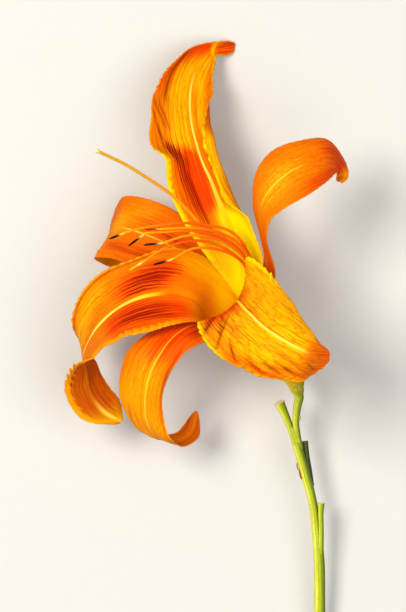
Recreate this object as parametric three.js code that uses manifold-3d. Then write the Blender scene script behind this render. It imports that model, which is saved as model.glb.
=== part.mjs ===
// An orange daylily, Hemerocallis fulva: one open flower on its cut scape, lying on a table.
// Millimetres. +Z is up from the table and +Y runs from the cut end of the scape to the top petal.
//
// Six tepals stand on the rim of a short tube: three broad wavy petals inside, three narrower
// sepals outside, turn about. Each is a blade through hand-placed stations of its midrib and of its
// two edges. Round the flower's axis the clock starts at the side nearest to the viewer, and a
// blade's edges are named by it: "before" the midrib and "after" it.
import * as THREE from "three";
import { mergeVertices } from "three/addons/utils/BufferGeometryUtils.js";
import Module from "manifold-3d";

const wasm = await Module();
wasm.setup();

// Driving dimensions.
const FLOWER_SPAN = 113.7; // top petal's crown to lower sepal's bend
const BLADE_THICKNESS = 0.8;
const TUBE_LENGTH = 22;
const PETAL_RING_RADIUS = 4.3;
const SEPAL_RING_RADIUS = 5.6;
const THROAT_HEIGHT = 12;
const PETAL_THROAT_RADIUS = 8.0;
const SEPAL_THROAT_RADIUS = 10.2;
const FILAMENT_RADIUS = 0.42;
const STYLE_RADIUS = 0.5;
const ANTHER_RADIUS = 0.5;
const SEAT_GAP = 0.3;

// Stations are read off the photograph, [across, down] in its own pixels, with a height in mm.
const SPAN_IN_PHOTO = 406;
const PHOTO_CENTRE = { across: 203, down: 306 };
const CAMERA_HEIGHT = 1500;
const SHARP_HEIGHT = 30;
const MM_PER_STEP = FLOWER_SPAN / SPAN_IN_PHOTO;

function placed([across, down, height]) {
  const nearness = (CAMERA_HEIGHT - height) / (CAMERA_HEIGHT - SHARP_HEIGHT);
  const scale = MM_PER_STEP * nearness;
  return new THREE.Vector3(
    (across - PHOTO_CENTRE.across) * scale,
    (PHOTO_CENTRE.down - down) * scale,
    height,
  );
}

// The flower's own axes: the tube's foot, the way the flower faces, and two directions across it.
const TUBE_FOOT = placed([297, 390, 17]);
const FACING = new THREE.Vector3(-0.504, 0.645, 0.574).normalize();
const ASIDE = new THREE.Vector3(0.788, 0.615, 0).normalize();
const NEAR = new THREE.Vector3().crossVectors(ASIDE, FACING).normalize();

// The point at a height above the tube's foot, a radius out and a clock angle round the axis.
function roundAxis(height, radius, clock) {
  const angle = THREE.MathUtils.degToRad(clock);
  return TUBE_FOOT.clone()
    .addScaledVector(FACING, height)
    .addScaledVector(NEAR, radius * Math.cos(angle))
    .addScaledVector(ASIDE, radius * Math.sin(angle));
}

function through(points) {
  return new THREE.CatmullRomCurve3(points, false, "catmullrom", 0.5);
}

const PETAL = {
  ring: PETAL_RING_RADIUS,
  throat: PETAL_THROAT_RADIUS,
  throatTwist: 0.7,
  footSpread: [54, 54],
  throatSpread: [60, 60],
  rows: 42,
  columns: [-1, -0.89, -0.76, -0.5, -0.25, 0, 0.25, 0.5, 0.76, 1],
  waves: 6,
};
const SEPAL = {
  ring: SEPAL_RING_RADIUS,
  throat: SEPAL_THROAT_RADIUS,
  throatTwist: 0,
  footSpread: [34, 34],
  throatSpread: [32, 32],
  rows: 34,
  columns: [-1, -0.7, -0.35, 0, 0.35, 0.7, 1],
  waves: 4,
};

const TEPALS = {
  petal_top: {
    kind: PETAL,
    clock: 132,
    ruffle: { before: 0.25, after: 0.35, phase: 0.4 },
    fold: { from: 0.28, to: 0.82, turn: 165 },
    footSpread: [54, 30],
    throatSpread: [57, 25],
    midrib: [
      [243, 262, 33], [231, 237, 32.5], [219, 211, 30], [207, 181, 27], [201, 164, 25],
      [196, 145, 22], [191, 121, 18], [190, 96, 12.5], [195, 73, 7.5], [209, 54, 3], [234.5, 47.5, 0.36],
    ],
    before: [
      [262.5, 259, 39.5], [253.3, 232, 40], [241.5, 204, 39], [229, 175, 36.5], [223, 158, 34],
      [217.5, 140, 31], [213, 122, 26], [212.3, 101, 20.5], [212, 77, 12.5], [218.5, 56, 6], [235, 57, 1.4],
    ],
    after: [
      [214, 266, 32.5], [197, 243, 32.5], [181, 218, 32], [169, 187, 31], [164.5, 160, 29.5],
      [151, 143, 26], [150.5, 119, 22.5], [154.8, 94, 19], [169.3, 66, 14], [195.5, 47, 7.5], [237.5, 33, 2.4],
    ],
  },
  petal_front: {
    kind: PETAL,
    clock: 10,
    ruffle: { before: 0.5, after: 0.15, phase: 2.0 },
    midrib: [
      [237.5, 301.5, 57], [247, 311, 68], [265, 328, 76], [287, 342, 79], [309, 353, 76], [329, 356, 70],
    ],
    before: [
      [199, 322, 52.6], [207.5, 345.5, 64], [234.5, 365.5, 72], [268, 378, 75], [302, 380.5, 72], [329.5, 371.5, 66],
    ],
    after: [
      [246, 258.5, 51], [264.5, 268, 60], [287.5, 295.5, 68], [304, 321, 73], [319, 341, 73], [332.5, 348.5, 69],
    ],
  },
  petal_left: {
    kind: PETAL,
    clock: 250,
    ruffle: { before: 0.35, after: 0.3, phase: 4.1 },
    throatSpread: [92, 60],
    midrib: [
      [195, 301, 39.5], [168, 294, 41], [140, 298, 41.5], [113, 312, 40], [95, 331, 37],
      [84, 353, 32], [85, 372, 28], [89, 392, 25.5], [103, 411, 24], [121, 422, 23],
    ],
    before: [
      [214, 263, 29.2], [175, 248, 36], [133, 259, 36.5], [96, 277.3, 32.5], [72, 313.5, 28.5],
      [82, 343, 22], [96, 364, 22], [108, 385, 22], [120.5, 402, 22], [128, 417, 22],
    ],
    after: [
      [198, 322, 47.5], [171, 325, 48.5], [145, 332.5, 49], [120, 338.5, 48.5], [104.5, 347.5, 45.5],
      [93.5, 357.5, 42.5], [74, 366.5, 36.5], [64.5, 391.5, 30], [83, 420, 26], [116, 429, 24],
    ],
  },
  sepal_right: {
    kind: SEPAL,
    clock: 74,
    ruffle: { before: 0.1, after: 0.1, phase: 0.9 },
    midrib: [
      [270, 264, 45], [263, 238, 50], [261, 211, 54], [270, 190, 56], [289, 172.5, 56],
      [312, 162.5, 53.5], [329, 158, 49], [340, 165, 43], [344, 175, 38.5], [341, 182, 41],
    ],
    before: [
      [275, 274, 50], [267, 243, 57], [270, 221, 60], [284, 209, 58], [306, 196, 55],
      [325, 183, 51], [335, 174, 46], [337, 173.5, 41], [336, 179, 38], [333, 181, 42],
    ],
    after: [
      [264.5, 258, 36.5], [259.3, 232, 44], [253, 204, 49], [256, 174, 51.5], [273, 150.5, 52],
      [303, 140, 50], [327, 140, 46], [343.5, 158.5, 40], [348.5, 176, 38], [342, 186, 42],
    ],
  },
  sepal_lower: {
    kind: SEPAL,
    clock: 298,
    ruffle: { before: 0.1, after: 0.1, phase: 3.3 },
    midrib: [
      [198, 325, 41.5], [177, 334, 44.6], [159, 356, 46], [149, 377, 44.5], [145, 400, 41.5],
      [147, 421, 36.5], [158, 438, 30.5], [176, 440, 25], [190, 431, 21.5], [196.5, 411, 20],
    ],
    before: [
      [186, 312, 37], [160, 326, 39], [131, 347, 43], [121, 372, 41], [121, 400, 38],
      [131, 421, 32.5], [147, 434, 27], [172, 434, 27], [183, 426, 24], [190, 412, 21.5],
    ],
    after: [
      [212, 340, 44], [190, 349, 47.6], [177, 362, 46], [168, 377, 42.5], [162, 400, 39],
      [164, 421, 36], [171, 439, 34], [183, 446.5, 25], [199, 437, 20], [202, 416, 19],
    ],
  },
  sepal_back: {
    kind: SEPAL,
    clock: 192,
    ruffle: { before: 0.1, after: 0.1, phase: 5.2 },
    midrib: [
      [196, 262, 25.5], [165, 243, 26.5], [140, 232.5, 25], [121.5, 227.5, 20.5], [112, 229, 13],
      [109.5, 236, 5.5], [114.5, 243, 0.9], [124, 249, 0.2],
    ],
    before: [
      [215, 240, 22], [180, 214, 24], [151, 200, 24], [126, 196, 20], [118, 205, 13],
      [114, 215, 5.5], [119, 229, 0.9], [127, 239, 0.2],
    ],
    after: [
      [178, 282, 24], [148, 266, 23.5], [127, 263, 23], [111, 258.5, 18.5], [94, 258, 12],
      [104, 264.5, 5.5], [115, 268, 0.9], [124, 269, 0.2],
    ],
  },
};

// How far round the axis an edge stands from its midrib, out of [before, after] in degrees.
function edgeClock(turn, [before, after]) {
  return turn * (turn < 0 ? before : after);
}

// The midrib's and both edges' lines: two rings at the throat by rule, then the stations.
function tepalLines(spec) {
  const { kind, clock, footSpread = kind.footSpread, throatSpread = kind.throatSpread } = spec;
  const line = (turn, stations) => {
    const foot = roundAxis(
      TUBE_LENGTH + SEAT_GAP,
      kind.ring,
      clock + edgeClock(turn, footSpread),
    );
    const throat = roundAxis(
      TUBE_LENGTH + THROAT_HEIGHT,
      kind.throat - turn * kind.throatTwist,
      clock + edgeClock(turn, throatSpread),
    );
    return through([foot, throat, ...stations.map(placed)]);
  };
  return {
    midrib: line(0, spec.midrib),
    before: line(-1, spec.before),
    after: line(1, spec.after),
    roundFrom: 1 - 1.25 / (spec.midrib.length + 1),
  };
}

// How much of its full width a blade keeps at t: all of it, and then a rounded tip.
function tipRounding(t, roundFrom) {
  const beyond = Math.max(0, (t - roundFrom) / (1 - roundFrom));
  return 0.1 + 0.9 * Math.sqrt(Math.max(0, 1 - beyond ** 2));
}

// The wave of a blade's margin at t, on the side before (-1) or after (1) the midrib.
function ruffleAt({ kind, ruffle }, t, side) {
  const height = side < 0 ? ruffle.before : ruffle.after;
  const rise = THREE.MathUtils.smoothstep(t, 0.25, 0.45);
  const turn = 2 * Math.PI * kind.waves * t + ruffle.phase + side;
  return height * rise * (Math.sin(turn) + 0.35 * Math.sin(1.9 * turn + ruffle.phase));
}

// A blade's middle surface: a row of points across it for each step from foot to tip.
function tepalGrid(spec) {
  const { midrib, before, after, roundFrom } = tepalLines(spec);
  const { rows, columns } = spec.kind;
  const grid = [];
  for (let i = 0; i <= rows; i++) {
    const t = 1 - (1 - i / rows) ** 1.15;
    const middle = midrib.getPoint(t);
    const along = midrib.getTangent(t);
    const width = tipRounding(t, roundFrom);
    const left = before.getPoint(t).sub(middle).multiplyScalar(width);
    const right = after.getPoint(t).sub(middle).multiplyScalar(width);
    const half = right.clone().sub(left).multiplyScalar(0.5);
    const bow = right.clone().add(left).multiplyScalar(0.5);
    const row = columns.map((s) => {
      const out = half.clone().addScaledVector(bow, 2 * s);
      const inward = new THREE.Vector3().crossVectors(along, out).normalize();
      const lift = ruffleAt(spec, t, Math.sign(s)) * Math.abs(s) ** 2.5 * width;
      return middle
        .clone()
        .addScaledVector(half, s)
        .addScaledVector(bow, s * s)
        .addScaledVector(inward, lift);
    });
    foldMargin(row, columns, along, foldTurn(spec.fold, t));
    grid.push(row);
  }
  return grid;
}

// How far the "before" margin is turned over at t, in radians.
function foldTurn(fold, t) {
  if (!fold) return 0;
  const start = THREE.MathUtils.smoothstep(t, fold.from, fold.from + 0.12);
  const end = 1 - THREE.MathUtils.smoothstep(t, fold.to - 0.34, fold.to);
  return THREE.MathUtils.degToRad(fold.turn) * start * end;
}

// Turns the strip outside the fold line over, back on to the blade's inner face.
const FOLD_LINE = -0.76;
function foldMargin(row, columns, along, turn) {
  if (turn === 0) return;
  const start = columns.indexOf(FOLD_LINE);
  const outward = row[start].clone().sub(row[start + 1]).normalize();
  const inner = new THREE.Vector3().crossVectors(outward, along).normalize();
  const steps = row.slice(0, start).map((point, j) => point.distanceTo(row[j + 1]));
  for (let j = start - 1; j >= 0; j--) {
    const angle = (turn * (start - j)) / start;
    row[j] = row[j + 1]
      .clone()
      .addScaledVector(outward, steps[j] * Math.cos(angle))
      .addScaledVector(inner, steps[j] * Math.sin(angle));
  }
}

function gridNormal(grid, i, j) {
  const last = grid.length - 1;
  const side = grid[0].length - 1;
  const along = new THREE.Vector3().subVectors(
    grid[Math.min(i + 1, last)][j],
    grid[Math.max(i - 1, 0)][j],
  );
  const over = new THREE.Vector3().subVectors(
    grid[i][Math.min(j + 1, side)],
    grid[i][Math.max(j - 1, 0)],
  );
  return along.cross(over).normalize();
}

// A closed blade: the grid's two faces, half the thickness out on each side, and its rim.
function bladeGeometry(grid, thickness) {
  const rows = grid.length;
  const columns = grid[0].length;
  const positions = [];
  for (const side of [1, -1])
    for (let i = 0; i < rows; i++)
      for (let j = 0; j < columns; j++) {
        const p = grid[i][j]
          .clone()
          .addScaledVector(gridNormal(grid, i, j), (side * thickness) / 2);
        p.z = Math.max(p.z, 0);
        positions.push(p.x, p.y, p.z);
      }
  const id = (side, i, j) => side * rows * columns + i * columns + j;
  const index = [];
  const quad = (a, b, c, d) => index.push(a, b, c, a, c, d);
  for (let i = 0; i < rows - 1; i++)
    for (let j = 0; j < columns - 1; j++) {
      quad(id(0, i, j), id(0, i + 1, j), id(0, i + 1, j + 1), id(0, i, j + 1));
      index.push(id(1, i, j), id(1, i + 1, j + 1), id(1, i + 1, j));
      index.push(id(1, i, j), id(1, i, j + 1), id(1, i + 1, j + 1));
    }
  for (let i = 0; i < rows - 1; i++) {
    quad(id(0, i, 0), id(1, i, 0), id(1, i + 1, 0), id(0, i + 1, 0));
    const e = columns - 1;
    quad(id(0, i, e), id(0, i + 1, e), id(1, i + 1, e), id(1, i, e));
  }
  for (let j = 0; j < columns - 1; j++) {
    quad(id(0, 0, j), id(0, 0, j + 1), id(1, 0, j + 1), id(1, 0, j));
    const e = rows - 1;
    quad(id(0, e, j), id(1, e, j), id(1, e, j + 1), id(0, e, j + 1));
  }
  return indexed(positions, index);
}

function indexed(positions, index) {
  const geometry = new THREE.BufferGeometry();
  geometry.setAttribute("position", new THREE.Float32BufferAttribute(positions, 3));
  geometry.setIndex(index);
  geometry.computeVertexNormals();
  return geometry;
}

// A round stalk through points with a radius at each, closed by flat ends.
function stalkGeometry(points, radii, sides, steps, profile = () => 1) {
  const line = through(points);
  const widths = through(radii.map((r) => new THREE.Vector3(r, 0, 0)));
  const positions = [];
  let across = new THREE.Vector3(0, 0, 1);
  for (let i = 0; i <= steps; i++) {
    const u = i / steps;
    const along = line.getTangent(u);
    across = across.clone().addScaledVector(along, -across.dot(along)).normalize();
    const other = new THREE.Vector3().crossVectors(along, across);
    const middle = line.getPoint(u);
    const radius = widths.getPoint(u).x;
    for (let k = 0; k < sides; k++) {
      const a = (2 * Math.PI * k) / sides;
      const r = radius * profile(a);
      const p = middle
        .clone()
        .addScaledVector(across, r * Math.cos(a))
        .addScaledVector(other, r * Math.sin(a));
      positions.push(p.x, p.y, Math.max(p.z, 0));
    }
  }
  const index = [];
  for (let i = 0; i < steps; i++)
    for (let k = 0; k < sides; k++) {
      const n = (k + 1) % sides;
      const a = i * sides;
      const b = a + sides;
      index.push(a + k, a + n, b + n, a + k, b + n, b + k);
    }
  for (let k = 1; k < sides - 1; k++) {
    index.push(0, k + 1, k);
    const e = steps * sides;
    index.push(e, e + k, e + k + 1);
  }
  return indexed(positions, index);
}

function solid(geometry) {
  const plain = geometry.clone();
  plain.deleteAttribute("normal");
  const merged = mergeVertices(plain, 1e-4);
  return new wasm.Manifold(
    new wasm.Mesh({
      numProp: 3,
      vertProperties: new Float32Array(merged.attributes.position.array),
      triVerts: new Uint32Array(merged.index.array),
    }),
  );
}

function geometryOf(manifold) {
  const mesh = manifold.getMesh();
  return indexed(mesh.vertProperties, new THREE.BufferAttribute(mesh.triVerts, 1));
}

const flower = new THREE.Group();

function addMesh(name, geometry, colour, roughness) {
  const material = new THREE.MeshStandardMaterial({ color: colour, roughness, metalness: 0 });
  const mesh = new THREE.Mesh(geometry, material);
  mesh.name = name;
  flower.add(mesh);
}

const COLOURS = {
  petal: 0xf5780a,
  sepal: 0xf58a1e,
  tube: 0xd8b83c,
  filament: 0xf0641e,
  anther: 0x2a1418,
  style: 0xf59a28,
  stigma: 0xfff0b4,
  ovary: 0x9aa83c,
  scape: 0x9ab428,
  bract: 0xb9a04a,
  dryBract: 0x8a4a1e,
};

for (const [name, spec] of Object.entries(TEPALS)) {
  const colour = spec.kind === PETAL ? COLOURS.petal : COLOURS.sepal;
  addMesh(name, bladeGeometry(tepalGrid(spec), BLADE_THICKNESS), colour, 0.55);
}

// The perianth tube: bent at its foot, swollen round the ovary, then widening to the mouth.
// Inside it are the ovary's chamber, the style's bore and the ledge that the stamens stand on.
const TUBE_BEND = [
  [298.3, 393.6, 17], [297.8, 390.5, 17.3], [296.4, 386.6, 17.8], [295.2, 381, 18.7],
  [292, 376, 19.9], [287, 372, 21],
];
const TUBE_RADII = [1.5, 1.85, 2.2, 2.6, 2.8, 2.75, 2.75, 3.2, 4.5, 6.2];
const CHAMBER = [[1.0, 0.8], [1.8, 1.4], [2.8, 1.95], [4.0, 2.1], [5.2, 1.8], [6.1, 0.9]];
const OVARY = [[1.35, 0.6], [2.0, 1.15], [2.9, 1.6], [4.0, 1.75], [5.1, 1.4], [5.75, 0.6]];
const LEDGE_HEIGHT = 18.5;
const BORE_RADIUS = 1.05;
const MOUTH_BORE = [[LEDGE_HEIGHT, 3.2], [TUBE_LENGTH + 0.5, 3.75]];

const tubeStations = [
  ...TUBE_BEND.map(placed),
  ...[9, 13.5, 18, TUBE_LENGTH].map((height) => roundAxis(height, 0, 0)),
];
const tubeLine = through(tubeStations);
const alongTube = (station) => tubeLine.getPoint(station / (tubeStations.length - 1));

// A round body on the tube's line, from its stations along it and its radii.
function tubeBody(stations, sides, steps) {
  const points = stations.map(([station]) => alongTube(station));
  const radii = stations.map(([, radius]) => radius);
  return stalkGeometry(points, radii, sides, steps);
}

const bore = [5.6, 7, 8, 8.4].map(alongTube);
const tube = solid(stalkGeometry(tubeStations, TUBE_RADII, 24, 16))
  .subtract(solid(tubeBody(CHAMBER, 16, 10)))
  .subtract(solid(stalkGeometry(bore, bore.map(() => BORE_RADIUS), 16, 6)))
  .subtract(
    solid(
      stalkGeometry(
        MOUTH_BORE.map(([height]) => roundAxis(height, 0, 0)),
        MOUTH_BORE.map(([, radius]) => radius),
        24,
        2,
      ),
    ),
  );
addMesh("perianth_tube", geometryOf(tube), COLOURS.tube, 0.5);
addMesh("ovary", tubeBody(OVARY, 12, 10), COLOURS.ovary, 0.5);

// Style and stamens leave the throat in one bundle and then fan out. One stamen is the bundle's
// middle; the style, farthest from the viewer, and the other stamens stand round it.
const BUNDLE = [
  [258, 319, 33.6], [253.5, 301, 37.0], [251.5, 285, 39.6], [249, 265, 41.9],
];
const BUNDLE_RADIUS = 1.22;
const STYLE_CLOCK = 180;

// Where the bundle's stalk at a clock angle passes: beside each of the bundle's middle points.
function bundlePoints(radius, clock) {
  const aside = roundAxis(0, radius, clock).sub(TUBE_FOOT);
  return BUNDLE.map((point) => placed(point).add(aside));
}

const STYLE_ROUTE = [
  [239.5, 252, 41.4], [224, 241, 42], [205, 229.5, 43.3], [188, 210.5, 45], [170.8, 194.3, 46.5],
  [150.4, 180, 48.5], [125, 164.3, 50.5], [100, 152.3, 52],
];
const STIGMA = [[0.3, 0.35], [0.7, 0.6], [1.2, 0.6], [1.6, 0.25]];
const stylePoints = [
  ...[6.05, 7, 8].map(alongTube),
  roundAxis(22, 1.0, STYLE_CLOCK),
  ...bundlePoints(BUNDLE_RADIUS, STYLE_CLOCK),
  ...STYLE_ROUTE.map(placed),
];
const styleRadii = stylePoints.map(() => STYLE_RADIUS);
addMesh("style", stalkGeometry(stylePoints, styleRadii, 6, 34), COLOURS.style, 0.5);

const styleEnd = stylePoints.at(-1);
const styleWay = styleEnd.clone().sub(stylePoints.at(-2)).normalize();
const stigmaPoints = STIGMA.map(([out]) => styleEnd.clone().addScaledVector(styleWay, out));
const stigmaRadii = STIGMA.map(([, radius]) => radius);
addMesh("stigma", stalkGeometry(stigmaPoints, stigmaRadii, 8, 5), COLOURS.stigma, 0.6);

const STAMENS = [
  {
    foot: 132,
    clock: 120,
    offset: BUNDLE_RADIUS,
    route: [
      [240.5, 240, 44], [226, 229.3, 45], [207, 225.3, 45.5], [185, 223, 45.8], [160, 225.5, 46],
      [142, 228, 46], [126, 232.3, 46],
    ],
    anther: [[124.5, 233, 46], [109, 239, 46]],
  },
  {
    foot: 79,
    clock: 60,
    offset: BUNDLE_RADIUS,
    route: [
      [241, 246, 46.4], [225, 235, 47.4], [205, 229.3, 47.5], [185, 228, 47.5], [163, 229, 47.5],
    ],
    anther: [[161.5, 229, 47.5], [144.5, 229.6, 47.2]],
  },
  {
    foot: 26,
    clock: 0,
    offset: 0,
    route: [
      [239, 249.5, 44.4], [224, 238, 45.4], [205, 233, 46], [185, 230.5, 46.2],
      [165, 232, 46.2], [146.5, 233, 46],
    ],
    anther: [[145, 233.6, 46], [128.5, 246, 45]],
  },
  {
    foot: -27,
    clock: 0,
    offset: BUNDLE_RADIUS,
    route: [
      [239, 252, 47.4], [224, 241.5, 48.3], [205, 236, 48.8], [185, 236, 48.5], [166, 242, 47.8],
    ],
    anther: [[164.5, 243, 47.6], [143.5, 245, 47]],
  },
  {
    foot: -132,
    clock: 240,
    offset: BUNDLE_RADIUS,
    route: [
      [235, 255.5, 43], [222, 247, 44], [205, 241.5, 44.6], [185, 241.5, 44.8], [165, 248, 44.8],
      [150, 257, 44.6], [144, 261.3, 44.5],
    ],
    anther: [[142.5, 262.3, 44.4], [129, 270.5, 44]],
  },
  {
    foot: -79,
    clock: 300,
    offset: BUNDLE_RADIUS,
    route: [
      [236, 257, 46.5], [222, 250.5, 48.6], [205, 247.7, 49.4], [190, 249.5, 49.2],
      [175, 257.7, 48.6],
    ],
    anther: [[173.5, 259, 48.4], [153.5, 264.8, 48]],
  },
];
const ANTHER_PROFILE = [[0, 0.35], [0.08, 0.8], [0.3, 1], [0.6, 1], [0.9, 0.8], [1, 0.3]];
const twoLobes = (angle) => 1 + 0.22 * Math.cos(2 * angle);

STAMENS.forEach(({ foot, clock, offset, route, anther }, i) => {
  const points = [
    roundAxis(LEDGE_HEIGHT + SEAT_GAP, 2.3, foot),
    roundAxis(22, 2.2, foot),
    ...bundlePoints(offset, clock),
    ...route.map(placed),
  ];
  const radii = points.map(() => FILAMENT_RADIUS);
  addMesh(`filament_${i + 1}`, stalkGeometry(points, radii, 6, 28), COLOURS.filament, 0.5);
  const [near, far] = anther.map(placed);
  const spots = ANTHER_PROFILE.map(([share]) => near.clone().lerp(far, share));
  const girths = ANTHER_PROFILE.map(([, share]) => share * ANTHER_RADIUS);
  addMesh(`anther_${i + 1}`, stalkGeometry(spots, girths, 8, 9, twoLobes), COLOURS.anther, 0.7);
});

// The scape, the pedicel that carries the flower, and the cut stubs of its spent neighbours.
const pedicelEnd = (back) =>
  tubeStations[0].clone().addScaledVector(tubeLine.getTangent(0), -SEAT_GAP - back);
const SCAPE_PIECES = {
  scapeAndLeftStub: {
    sides: 12,
    steps: 30,
    points: [
      [319, 755, 1.6], [321, 690, 4.2], [319.7, 612, 7.7], [319.5, 570, 9.6], [318, 546, 10.7],
      [316, 525, 11.6], [313.2, 505, 12.6], [309.4, 488, 13.3], [306.4, 478, 13.8], [301.7, 461, 14.6],
      [296.7, 445, 15.4], [291.2, 430, 16.1], [285.2, 415, 17.2], [280.6, 405.2, 18.1],
      [279.4, 402.4, 18.4],
    ].map(placed),
    radii: [1.7, 1.65, 1.6, 1.58, 1.5, 1.35, 1.25, 1.3, 1.33, 1.3, 1.28, 1.02, 1.15, 1.4, 1.46],
  },
  pedicel: {
    sides: 12,
    steps: 12,
    points: [
      ...[
        [300.3, 449, 15.2], [297.7, 437, 16], [295.9, 424, 16.6], [296.3, 415, 16.8],
        [297.3, 406, 16.9],
      ].map(placed),
      pedicelEnd(1.1),
      pedicelEnd(0),
    ],
    radii: [0.9, 0.95, 0.95, 1.05, 1.2, 1.32, 1.42],
  },
  pedicelScar: {
    sides: 6,
    steps: 2,
    points: [[298.4, 420.5, 16.9], [299.4, 418, 17], [300.2, 415.8, 17.2]].map(placed),
    radii: [0.4, 0.35, 0.15],
  },
  rightStub: {
    sides: 8,
    steps: 8,
    points: [
      [320.3, 568, 9.8], [321, 550, 11.3], [321.3, 530, 12.6], [320.9, 515, 13.4], [321.2, 503, 14],
    ].map(placed),
    radii: [0.7, 0.75, 0.72, 0.75, 0.95],
  },
  shadedStub: {
    sides: 8,
    steps: 6,
    points: [
      [311.5, 486, 12.4], [308.8, 470, 12.6], [306.3, 455, 12.8], [304.8, 441, 13],
    ].map(placed),
    radii: [0.8, 0.9, 0.9, 0.92],
  },
};
const scape = Object.values(SCAPE_PIECES).map(({ points, radii, sides, steps }) =>
  solid(stalkGeometry(points, radii, sides, steps)),
);
addMesh("scape", geometryOf(wasm.Manifold.union(scape)), COLOURS.scape, 0.45);

// Dry scales on the scape: each hugs it from its foot up and bends away a little at its tip.
const SCALES = {
  bract_fork: {
    feet: [[296.1, 443, 15.5], [293.6, 436, 15.8], [290, 426.5, 16.3]],
    stemRadius: 1.28,
    middle: 2,
    halfTurn: 40,
    spring: 0.05,
    colour: COLOURS.bract,
  },
  bract_dry: {
    feet: [[306, 477.5, 13.8], [304.1, 469.5, 14.2], [301.7, 461, 14.6]],
    stemRadius: 1.33,
    middle: -70,
    halfTurn: 16,
    spring: 0.05,
    colour: COLOURS.dryBract,
  },
};
const SCALE_ROWS = 8;
const SCALE_COLUMNS = [-1, -0.5, 0, 0.5, 1];

// A scale's middle surface. Angles go round the stem from straight up toward its right side.
function scaleGrid({ feet, stemRadius, middle, halfTurn, spring }) {
  const line = through(feet.map(placed));
  const grid = [];
  for (let i = 0; i <= SCALE_ROWS; i++) {
    const t = i / SCALE_ROWS;
    const along = line.getTangent(t);
    const right = new THREE.Vector3(along.y, -along.x, 0).normalize();
    const up = new THREE.Vector3().crossVectors(right, along);
    const radius = stemRadius + SEAT_GAP + BLADE_THICKNESS / 2 + spring * t ** 2;
    const share = 0.3 + 0.7 * Math.sqrt(1 - t ** 2);
    grid.push(
      SCALE_COLUMNS.map((s) => {
        const angle = THREE.MathUtils.degToRad(middle + s * halfTurn * share);
        return line
          .getPoint(t)
          .addScaledVector(up, radius * Math.cos(angle))
          .addScaledVector(right, radius * Math.sin(angle));
      }),
    );
  }
  return grid;
}

for (const [name, scale] of Object.entries(SCALES)) {
  addMesh(name, bladeGeometry(scaleGrid(scale), BLADE_THICKNESS * 0.75), scale.colour, 0.8);
}

// The frame's origin is the middle of the flower's bounds, on the table.
const bounds = new THREE.Box3().setFromObject(flower);
const middle = bounds.getCenter(new THREE.Vector3());
for (const mesh of flower.children) mesh.geometry.translate(-middle.x, -middle.y, -bounds.min.z);

export default flower;
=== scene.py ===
"""An orange daylily on its cut scape, lying on a pale table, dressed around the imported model.

The blades, stalks and scape follow the same stations as the solids, on finer grids and with the
folds, crinkles, veins and pollen of the living flower.
"""

import logging
import math
from dataclasses import dataclass, field
from enum import Enum

import bpy
import numpy as np
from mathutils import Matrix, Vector


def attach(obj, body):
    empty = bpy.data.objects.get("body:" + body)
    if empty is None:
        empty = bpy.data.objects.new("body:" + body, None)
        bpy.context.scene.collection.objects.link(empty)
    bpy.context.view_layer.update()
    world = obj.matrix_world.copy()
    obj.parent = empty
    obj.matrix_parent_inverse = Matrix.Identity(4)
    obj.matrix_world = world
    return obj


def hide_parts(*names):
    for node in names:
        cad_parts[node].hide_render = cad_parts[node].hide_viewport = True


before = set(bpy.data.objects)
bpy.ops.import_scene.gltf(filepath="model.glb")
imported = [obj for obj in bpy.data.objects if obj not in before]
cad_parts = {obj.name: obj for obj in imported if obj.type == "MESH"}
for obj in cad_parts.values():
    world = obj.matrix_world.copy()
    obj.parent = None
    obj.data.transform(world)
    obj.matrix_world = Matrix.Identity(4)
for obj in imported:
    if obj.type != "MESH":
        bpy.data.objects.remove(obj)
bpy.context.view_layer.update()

logging.basicConfig(level=logging.INFO, format="%(message)s")
LOG = logging.getLogger("daylily")

MM = 0.001
TURN = 2 * math.pi

Station = tuple[float, float, float]
Stations = list[Station]
Faces = list[tuple[int, ...]]
Stops = tuple[tuple[float, float | str], ...]


# ---- The drawing and its lines ----


@dataclass(frozen=True)
class Drawing:
    """The view the flower was drawn from, whose stations are pixels with a height in mm."""

    span_mm: float = 113.7
    span_px: float = 406.0
    frame_height_px: float = 612.0
    centre_across_px: float = 203.0
    centre_down_px: float = 306.0
    camera_mm: float = 1500.0
    sharp_mm: float = 30.0
    origin_across_mm: float = 0.9327
    origin_along_mm: float = -26.2831

    def place(self, stations: Stations) -> np.ndarray:
        """Put stations into the part's frame.

        Args:
            stations: pixels across, pixels down and height in mm, one row each.

        Returns:
            The points in mm, one row each.
        """
        across, down, height = np.array(stations, dtype=float).T
        nearness = (self.camera_mm - height) / (self.camera_mm - self.sharp_mm)
        scale = self.span_mm / self.span_px * nearness
        x = (across - self.centre_across_px) * scale - self.origin_across_mm
        y = (self.centre_down_px - down) * scale - self.origin_along_mm
        return np.stack([x, y, height], axis=1)


DRAWING = Drawing()


def unit(vectors: np.ndarray) -> np.ndarray:
    """Scale vectors to length one along their last axis."""
    length = np.linalg.norm(vectors, axis=-1, keepdims=True)
    return vectors / np.maximum(length, 1e-12)


def smoothstep(x: np.ndarray, low: float, high: float) -> np.ndarray:
    """Rise smoothly from 0 at low to 1 at high."""
    share = np.clip((x - low) / (high - low), 0.0, 1.0)
    return share * share * (3.0 - 2.0 * share)


def ring_angles(sides: int) -> np.ndarray:
    """List the angles of a ring's corners, in radians."""
    return np.arange(sides) * TURN / sides


def lit_side_share(turn: np.ndarray) -> np.ndarray:
    """Find how far a stalk's side faces left, toward the key lamp, from 0 to 1, for its turns from
    0 to 1; painted light and shade follow it.
    """
    return 0.5 - 0.5 * np.sin(TURN * turn)


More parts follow.
